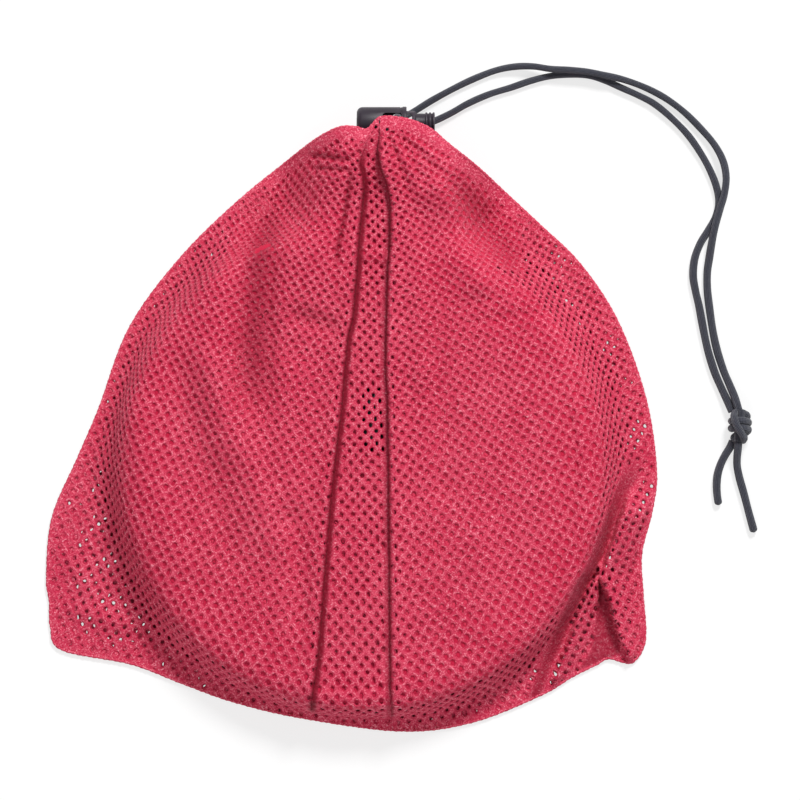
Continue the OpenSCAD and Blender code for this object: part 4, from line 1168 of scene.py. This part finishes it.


# Knitted polyester, with painted light and shade: painted glints of pale yarn on the ribs, and
# painted shade towards each hole and in the folds.
bag_finish = Finish("red knitted mesh", {
    "Sheen Weight": 0.05, "Sheen Roughness": 0.35, "Sheen Tint": rgb(1.0, 0.55, 0.62),
    "Specular IOR Level": 0.12})
rib_light_and_shade, painted_shade_mark = (
    bag_finish.node("ShaderNodeAttribute", {"attribute_name": name}, None, "Fac")
    for name in ("rib", "painted_shade"))
patches = bag_finish.noise(32, 2)
yarns = bag_finish.noise(1.0, 2, 0.6, bag_finish.stretched((0.55, 1.5, 1.0), bag_finish.lay()))
grain = bag_finish.noise(1150, 2, 0.7)
# Random yarn tone, plus painted shade from the rib mark: darker towards each hole.
tone = rib_light_and_shade * 0.55 + (yarns - 0.5) * 1.5 + (grain - 0.5) * 1.9 + (patches - 0.5) * 0.4
# Painted glints: pale specks of highlight on the yarns.
glint = bag_finish.step(yarns * 0.8 + grain * 0.8, 0.86, 1.02)
knitted = bag_finish.blend(bag_finish.step(tone, -0.1, 0.85), rgb(0.47, 0.016, 0.056),
                           rgb(0.695, 0.090, 0.152))
knitted = bag_finish.blend(glint * rib_light_and_shade * 0.75, knitted, rgb(0.93, 0.42, 0.50))
# Painted shade: colour darkened to deep crimson in creases, folds, the slit and the pocket.
bag_finish.feed("Base Color", bag_finish.blend(painted_shade_mark, knitted, rgb(0.17, 0.001, 0.012)))
bag_finish.feed("Roughness", 0.70 - 0.2 * glint)
bag_finish.relief(yarns + grain, 0.32)


def bead(q, away):
    """How far a folded edge swells above the panel, at a distance from its crease."""
    return 2.2 * np.exp(-((away - 2) / 6.5)**2) * smooth_step(inside_edge(q, arc_end), 2, 30)


def side_surface(line):
    """A side gore, whose folded edge swells a little and rolls down onto the strip."""
    roll_r = 1.7

    def place(q):
        p = front_surface(q)
        away = np.abs(q[:, 0] - crease_x(q, line))
        roll = 4.4 * (1 - np.sqrt(np.clip(1 - (1 - away / roll_r)**2, 0, 1))) * (away < roll_r)
        p[:, 2] += bead(q, away) - roll * smooth_step(inside_edge(q, arc_end), 2, 30)
        return p
    return place


def side_limits(line, side):
    def limits(q):
        return np.minimum(inside_edge(q, arc_end), side * (q[:, 0] - crease_x(q, line)))
    return limits


def side_clamp(line, side):
    def clamp(q):
        x = crease_x(q, line)
        x = np.where(side * (q[:, 0] - x) < 0, x, q[:, 0])
        return pull_in(np.stack([x, q[:, 1]], 1), arc_end)
    return clamp


def under_edge(line, valleys, most):
    """How deep a point of a side gore lies in the shade of its folded edge, or in a fold."""
    def dark(q):
        xy = front_surface(q)[:, :2]
        off = np.abs(q[:, 0] - crease_x(q, line))
        depth = most * (1 - smooth_step(off, 0.5, 2.4)) * smooth_step(
            inside_edge(q, arc_end), 2, 20)
        for valley, share, half in valleys:
            depth = np.maximum(depth, fold(xy, valley, share, half, taper=0.3))
        return depth
    return dark


def slit_shade(q):
    """Shade in the slit and in the pocket under the leaf."""
    xy = front_surface(q)[:, :2]
    out, half = slit_at(xy)
    shade = ((0.52 + 0.12 * smooth_step(-xy[:, 1], 60, 120))
             * (1 - smooth_step(np.abs(out) - half, -2.2, 1.0)) * smooth_step(-xy[:, 1], 12, 34))
    return np.maximum(shade, 0.6 * smooth_step(within(xy, pocket), -0.8, 0.6))


def at_neck(q):
    """The rim of the neck, where the cloth is doubled and no light comes through it."""
    return (inside_edge(q, arc_end) < 6.5) & (np.abs(off_mouth(polar(q)[0])) < 25)


# Painted shade: how much the gores' colour is darkened beside each folded edge and in the folds.
left_shade = under_edge(left_crease, [
    (main_valley, 0.55, 8), (bulge_fold, 0.22, 4), (second_crease, 0.8, 1.2),
    (neck_wrinkle, 0.55, 1.5), (lower_wrinkle, 0.5, 1.2), (low_valley, 0.12, 7)], 1.0)
right_shade = under_edge(right_crease, [(shoulder_valley, 0.30, 8)], 0.85)
on_pack = {"held": "laid", "rests_on": ["folded_net", "hoop_sleeve"]}
left_cloth = knit(side_surface(left_crease), side_limits(left_crease, -1),
                  side_clamp(left_crease, -1), (-5, -100), -10, (-200, 30, -120, 300), seed=11,
                  painted_shade=left_shade, shut=at_neck)
sew("front_left_gore", left_cloth, "bag_front_panel", flat=(0.16, 0.34), **on_pack)
right_cloth = knit(side_surface(right_crease), side_limits(right_crease, 1),
                   side_clamp(right_crease, 1), (20, -100), 10, (-30, 200, -120, 300), seed=12,
                   painted_shade=lambda q: np.maximum(right_shade(q), slit_shade(q)),
                   shut=lambda q: (slit_shade(q) > 0.15) | at_neck(q))
sew("front_right_gore", right_cloth, "bag_front_panel", flat=(0.15, 0.34), **on_pack)
under_lap, strip_margin = 3.0, 0.8


def beside_strip(q):
    """How far a point lies right of the left crease, and left of the right one."""
    return q[:, 0] - crease_x(q, left_crease), crease_x(q, right_crease) - q[:, 0]


def strip_limits(q):
    left, right = beside_strip(q)
    return np.minimum(inside_edge(q, arc_end) - strip_margin, np.minimum(left, right) + under_lap)


def strip_clamp(q):
    x = np.clip(q[:, 0], crease_x(q, left_crease) - under_lap,
                crease_x(q, right_crease) + under_lap)
    return pull_in(np.stack([x, q[:, 1]], 1), arc_end, strip_margin)


def pleat_drop(q):
    """How far the strip lies below the folded edges. Its margins turn back up under them."""
    out = -np.minimum(*beside_strip(q))
    return 2.6 - (1.7 + bead(q, out)) * smooth_step(out, 0.4, 2.0)


def strip_shade(q):
    """Shade on the strip beside the folded edges that stand over it."""
    left, right = beside_strip(q)
    inside = np.minimum(left, right)
    shade = (np.where(left < right, 0.95, 0.5) * (1 - smooth_step(inside, 1.4, 2.8))
             - 0.4 * smooth_step(-inside, 0.3, 1.6))
    return shade * smooth_step(inside_edge(q, arc_end), 2, 20)


strip_cloth = knit(lambda q: front_surface(q, pleat_drop(q)), strip_limits, strip_clamp,
                   (4, -100), 3, (-40, 40, -120, 300), hole=(2.25, 3.4), seed=13,
                   painted_shade=strip_shade, shut=lambda q: strip_shade(q) > 0.15)
sew("front_pleat_strip", strip_cloth, "bag_front_panel", flat=(0.05, 0.34), **on_pack)

# ---- Back panel of the bag ----
# The same mesh, cut to the same outline. It lies flat under the pack and carries it.
back_edge = edge_of - 12 * (1 - smooth_step(np.abs(off_mouth(bearings)), 8, 23))


def back_surface(q):
    bearing, r = polar(q)
    loose = smooth_step(r, 126, 138) * smooth_step(end_at(bearing, edge_of) - r, 0, 8)
    over = front_surface(from_polar(bearing, along_cloth(bearing, r)))[:, 2]
    flap = smooth_step(np.abs(off_mouth(bearing)), 30, 60)
    z = 0.62 + loose * (0.4 + 0.2 * wander(q, 30, 4) + flap * np.clip(over - 2.6, 0, 9))
    return np.stack([q[:, 0], q[:, 1], z], 1)


def back_shut(q):
    """Holes that don't show: under the hoop's outer edge, and where the folded leaf lies."""
    r = polar(q)[1]
    return ((r > 112) & (r < 131)) | (within(q, pocket) > -6)


back_cloth = knit(back_surface, lambda q: inside_edge(q, back_edge),
                  lambda q: pull_in(q, back_edge), (0, -60), 4, (-200, 200, -120, 240), seed=21,
                  up=-1.0, shut=back_shut)
back_cloth["points"][:, 2] = np.maximum(back_cloth["points"][:, 2], 0.02)
sew("back_panel", back_cloth, "bag_back_panel", flat=(0.31, 0.31), held="laid")

# ---- Seam allowance and edge seam ----
# Front and back are sewn right sides together and turned, so the raw edges stand inside as a
# second layer along the sides and the base, and the seam itself is a firm rolled edge.
allowance_w, allowance_margin, mouth_half_turn = 15, 1.0, 25


def past_raw_edge(q):
    """How far a point lies outwards from the allowance's raw edge."""
    bearing, r = polar(q)
    return r - (end_at(bearing, arc_end) - allowance_w)


def allowance_surface(q):
    p = front_surface(q) - normals_of(front_surface, q) * 1.25
    p[:, 2] = np.maximum(p[:, 2], 1.15)
    p[:, 2] += 0.25 * np.sin(polar(q)[0] * 160) * smooth_step(past_raw_edge(q), 0, 6)
    return p


def allowance_limits(q):
    past_mouth = np.radians(np.abs(off_mouth(polar(q)[0])) - mouth_half_turn) * 150
    return np.minimum(np.minimum(inside_edge(q, arc_end) - allowance_margin, past_raw_edge(q)),
                      past_mouth)


def allowance_clamp(q):
    bearing, r = polar(q)
    end = end_at(bearing, arc_end)
    r = np.clip(r, end - allowance_w, end - allowance_margin)
    turn = off_mouth(bearing)
    side = np.where(turn < 0, -mouth_half_turn, mouth_half_turn)
    turn = np.where(np.abs(turn) < mouth_half_turn, side, turn)
    return from_polar(np.radians(turn + mouth_turn), r)


allowance_cloth = knit(allowance_surface, allowance_limits, allowance_clamp, (3, -62), 14,
                       (-260, 260, -160, 300), seed=31)
sew("seam_allowance", allowance_cloth, "bag_edge_seam", flat=(0.80, 0.015), held="folded",
    rests_on=["bag_back_panel"])


def edge_height(bearing):
    return table_at(arc_height, bearing, end_at(bearing, arc_end) - 0.05)


seam_sides, seam_step = 10, 0.9
seam_turn = np.radians(np.arange(0, 360, 0.45))
seam_line = np.column_stack([from_polar(seam_turn, end_at(seam_turn, edge_of) - 0.75),
                             np.maximum(edge_height(seam_turn) - 0.3, 1.0)])
seam_route, _ = even_route(seam_line, seam_step, closed=True)


def stitched(turn, i):
    return 0.13 * np.sin(i * 2.1 + turn) + 0.07 * np.sin(3 * turn + i * 0.9)


seam_points = loft(seam_route, 0.8, seam_sides, (0, 0, 1), closed=True, swell=stitched)
seam_faces, seam_maps = ring_faces(len(seam_route), seam_sides, closed=True)
# Painted light and shade: the seam's rib mark is highest along its top and lowest along its
# underside.
seam_light_and_shade = 0.5 + 0.3 * np.cos(np.arange(seam_sides) * 0.63)
make_piece("edge_seam", seam_points, seam_faces, bag_finish, ["bag_edge_seam"],
           scaled(seam_maps, 5, seam_step), {"rib": np.tile(seam_light_and_shade, len(seam_route))})

# ---- Hem and gathered mouth ----
# A channel of doubled mesh round the mouth. The cord draws it up into tight ruffles, and the
# cloth of both panels runs into it in pleats. It is open where the cord comes out.
hem_turns = np.linspace(30, 330, 241)
hem_line = column([hem_at(a) for a in hem_turns])
hem_sides, hem_outer_r, hem_inner_r, ruffles = 24, 4.0, 2.65, 14


def hem_swell(turn, i):
    a = np.radians(hem_turns[i])
    ruffle = np.abs(np.sin(a * ruffles + 0.5 * np.sin(turn))) ** 1.5
    return 0.75 * ruffle - 0.25 + 0.12 * np.sin(3 * turn + 5 * a)


hem_points = np.vstack([loft(hem_line, hem_outer_r, hem_sides, (0, 1, 0), swell=hem_swell),
                        loft(hem_line, hem_inner_r, hem_sides, (0, 1, 0))])
wall, wall_maps = ring_faces(len(hem_line), hem_sides, caps=False)
inner_wall, inner_maps = turned_over(wall, wall_maps)
base = len(hem_line) * hem_sides
end = base - hem_sides
hem_faces = wall + [[base + v for v in f] for f in inner_wall]
for k in range(hem_sides):
    m = (k + 1) % hem_sides
    hem_faces += [[k, base + k, base + m, m], [end + m, base + end + m, base + end + k, end + k]]
hem_maps = (scaled(wall_maps + inner_maps, 25, 0.35)
            + [(0, 0), (0, 1.3), (1, 1.3), (1, 0)] * 2 * hem_sides)
# Painted light and shade: the rib mark is highest on each ruffle's crest, lower between ruffles,
# and the hem's inner wall gets none.
hem_light_and_shade = 0.35 + 0.5 * np.abs(np.sin(np.radians(hem_turns) * ruffles))
hem = make_piece("drawn_hem", hem_points, hem_faces, bag_finish, ["drawcord_hem"],
                 hem_maps, {"rib": np.concatenate([np.repeat(hem_light_and_shade, hem_sides), np.zeros(base)])})

mouth_w, mouth_h = 132.0, 22.0
gap_middle, gap_half = mouth_w / 4, mouth_w * 0.085


def mouth_surface(q):
    """Round the mouth along u, and from the panels' edges in to the hem along v."""
    u = np.clip(q[:, 0] / mouth_w, 0, 1)
    v = np.clip(q[:, 1] / mouth_h, 0, 1)
    upper = u < 0.5
    share = np.where(upper, u * 2, 2 - u * 2)
    bearing = np.radians(107.5 - 46 * share)
    outer = np.column_stack([from_polar(bearing, end_at(bearing, edge_of) - 1.2),
                             np.where(upper, edge_height(bearing) - 0.5, 1.1)])
    outer[:, 1] -= 12 * np.exp(-((share - 0.5) / 0.3)**2) * ~upper
    turn = np.radians(np.where(upper, -105 + 420 * u, 105 + 300 * (u - 0.5)))
    inner = np.stack([hem_x + (hem_half_w + 1.2) * np.sin(turn), np.full(len(q), hem_y + 1.0),
                      hem_z + (hem_half_h + 1.2) * np.cos(turn)], 1)
    p = outer * (1 - v[:, None]) + inner * v[:, None]
    pleats = np.sin(u * FULL_TURN * 19) + 0.4 * np.sin(u * FULL_TURN * 31 + 1)
    deep = pleats * (0.25 + 0.75 * v) * (1 - 0.3 * v) * 0.9
    p += unit_rows(p - hem_middle) * deep[:, None]
    p[:, 2] = np.maximum(p[:, 2], 0.9)
    return p


def mouth_limits(q):
    """The front middle stays open for the cord and its lock."""
    x, y = q[:, 0], q[:, 1]
    gap = np.maximum(np.abs(x - gap_middle) - gap_half, -1)
    return np.minimum.reduce([x, mouth_w - x, y, mouth_h - y, gap])


def mouth_clamp(q):
    off = q[:, 0] - gap_middle
    side = gap_middle + np.where(off < 0, -gap_half, gap_half)
    x = np.where(np.abs(off) < gap_half, side, q[:, 0])
    return np.stack([np.clip(x, 0, mouth_w), np.clip(q[:, 1], 0, mouth_h)], 1)


mouth_cloth = knit(mouth_surface, mouth_limits, mouth_clamp, (0, 0), 0,
                   (-4, mouth_w + 4, -4, mouth_h + 4), pitch=3.6, row=2.6, hole=(1.3, 1.9),
                   seed=41, spread=1e-6, drop=0.0)
sew("mouth_gathers", mouth_cloth, "drawcord_hem", flat=(0.26, 0.03), held="gathered",
    with_pieces=[hem])

# ---- Soft layers just under the mesh ----
# The net's loose top layer leaves the pump's handle free. Round it lies the sleeve's free flange,
# which the net is laced to, and at the neck the pleat's cloth is folded back inside the bag.
left_side, right_side = side_surface(left_crease), side_surface(right_crease)


def below_cloth(q, gap):
    """A point just under the panel: under its gores, and lower under the pleat's strip."""
    left, right = beside_strip(q)
    low = front_surface(q, pleat_drop(q))
    high = np.where((left < right)[:, None], left_side(q), right_side(q))
    in_pleat = (smooth_step(left, -under_lap - 1.2, -under_lap)
                * smooth_step(right, -under_lap - 1.2, -under_lap))
    gap = gap + 0.6 * in_pleat + 0.45 * np.exp(-(right / 16)**2) + 0.2 * (left < 0)
    high[:, 2] += (low[:, 2] - high[:, 2]) * in_pleat - gap + 0.08 * wander(q, 8, 6)
    return high


def under_cloth(r0, r1, turns, steps, gap, handle=None):
    """A ring of soft cloth that lies just under the panel, with its map round it and across it.
    It stays open over the handle, which is given as two places across and two along."""
    rows, step = np.linspace(r0, r1, steps, retstep=True)
    flat = np.array([pack + (r * math.cos(a), r * math.sin(a))
                     for a in np.arange(turns) * FULL_TURN / turns for r in rows])
    p = below_cloth(flat, gap)
    faces, maps = [], []
    for a in range(turns):
        b = (a + 1) % turns
        for k in range(steps - 1):
            face = (b * steps + k, b * steps + k + 1, a * steps + k + 1, a * steps + k)
            x, y, _ = p[list(face)].mean(0)
            if handle and handle[0] < x < handle[1] and handle[2] < y < handle[3]:
                continue
            faces.append(face)
            turn = FULL_TURN / turns * max(rows[k], 1)
            maps += [((a + i) * turn, (k + j) * step)
                     for i, j in ((1, 0), (1, 1), (0, 1), (0, 0))]
    return p, faces, maps


points, faces, maps = under_cloth(0.05, 94.5, 480, 80, 0.68, (5.2, 19.8, -15.0, 16.5))
top_layer = make_piece("net_top_layer", points, faces, net_finish, ["folded_net"], maps)
points, faces, maps = under_cloth(92.0, 121.5, 720, 16, 0.66)
flange = make_piece("sleeve_flange", points, faces, sleeve_finish,
                    ["hoop_sleeve"], scaled(maps, 1 / weave_round, 1))

return_step = 1.5
return_x, return_y = np.arange(-66, 92, return_step), np.arange(78, 262, return_step)
flat = np.array([(x, y) for x in return_x for y in return_y])
inside = (inside_edge(flat, arc_end) > 4.5) & (polar(flat)[1] > 118)
place = np.arange(len(flat)).reshape(len(return_x), len(return_y))
faces = np.stack([place[:-1, :-1], place[1:, :-1], place[1:, 1:], place[:-1, 1:]], -1)
faces = faces.reshape(-1, 4)
faces = faces[inside[faces].all(1)]
used = np.unique(faces)
returns = make_piece("pleat_returns", below_cloth(flat, 0.66)[used], np.searchsorted(used, faces),
                     sleeve_finish, ["bag_front_panel"],
                     flat[faces.ravel()] / (weave_round, 1))

# ---- Table and light ----
# A plain white table under one large soft lamp from beyond the mouth, with even light all round.
table_finish = Finish("white table", {
    "Roughness": 0.9, "Base Color": rgb(0.90, 0.90, 0.90), "Specular IOR Level": 0.1})
camera_ray, glossy_ray, glass_ray = (
    table_finish.node("ShaderNodeLightPath", output=ray)
    for ray in ("Is Camera Ray", "Is Glossy Ray", "Is Transmission Ray"))
plain_white = table_finish.node("ShaderNodeEmission", None, {
    "Color": rgb(1.0, 1.0, 1.0), "Strength": 1.0})
table_mix = table_finish.node("ShaderNodeMixShader", None, {
    0: (camera_ray + glossy_ray + glass_ray) * 0.7,
    1: Socket(table_finish, table_finish.shader.outputs[0]), 2: plain_white})
table_finish.tree.links.new(table_mix.output,
                            table_finish.tree.nodes["Material Output"].inputs["Surface"])
table_half = 6000
table = new_object("table", [(x * table_half, y * table_half, 0)
                             for x, y in ((-1, -1), (1, -1), (1, 1), (-1, 1))], [range(4)])
table.data.materials.append(table_finish.material)
table.location.z = -0.2 * MM


def lamp(name, place, size, power):
    """A round soft lamp that is aimed at the middle of the table."""
    light = bpy.data.objects.new(name, bpy.data.lights.new(name, "AREA"))
    light.data.shape = "DISK"
    light.data.size = size
    light.data.energy = power
    light.location = place
    x, y, z = place
    light.rotation_euler = (0, math.atan2(math.hypot(x, y), z), math.atan2(y, x))
    bpy.context.scene.collection.objects.link(light)


lamp("window_lamp", (0.62, 1.55, 1.6), 0.55, 55)
lamp("fill_lamp", (-0.4, -1.5, 1.5), 1.4, 12)
world = bpy.data.worlds.new("studio")
world.use_nodes = True
world.node_tree.nodes["Background"].inputs["Color"].default_value = (1, 1, 1, 1)
world.node_tree.nodes["Background"].inputs["Strength"].default_value = 0.38
bpy.context.scene.world = world
bpy.context.scene.view_settings.view_transform = "Standard"
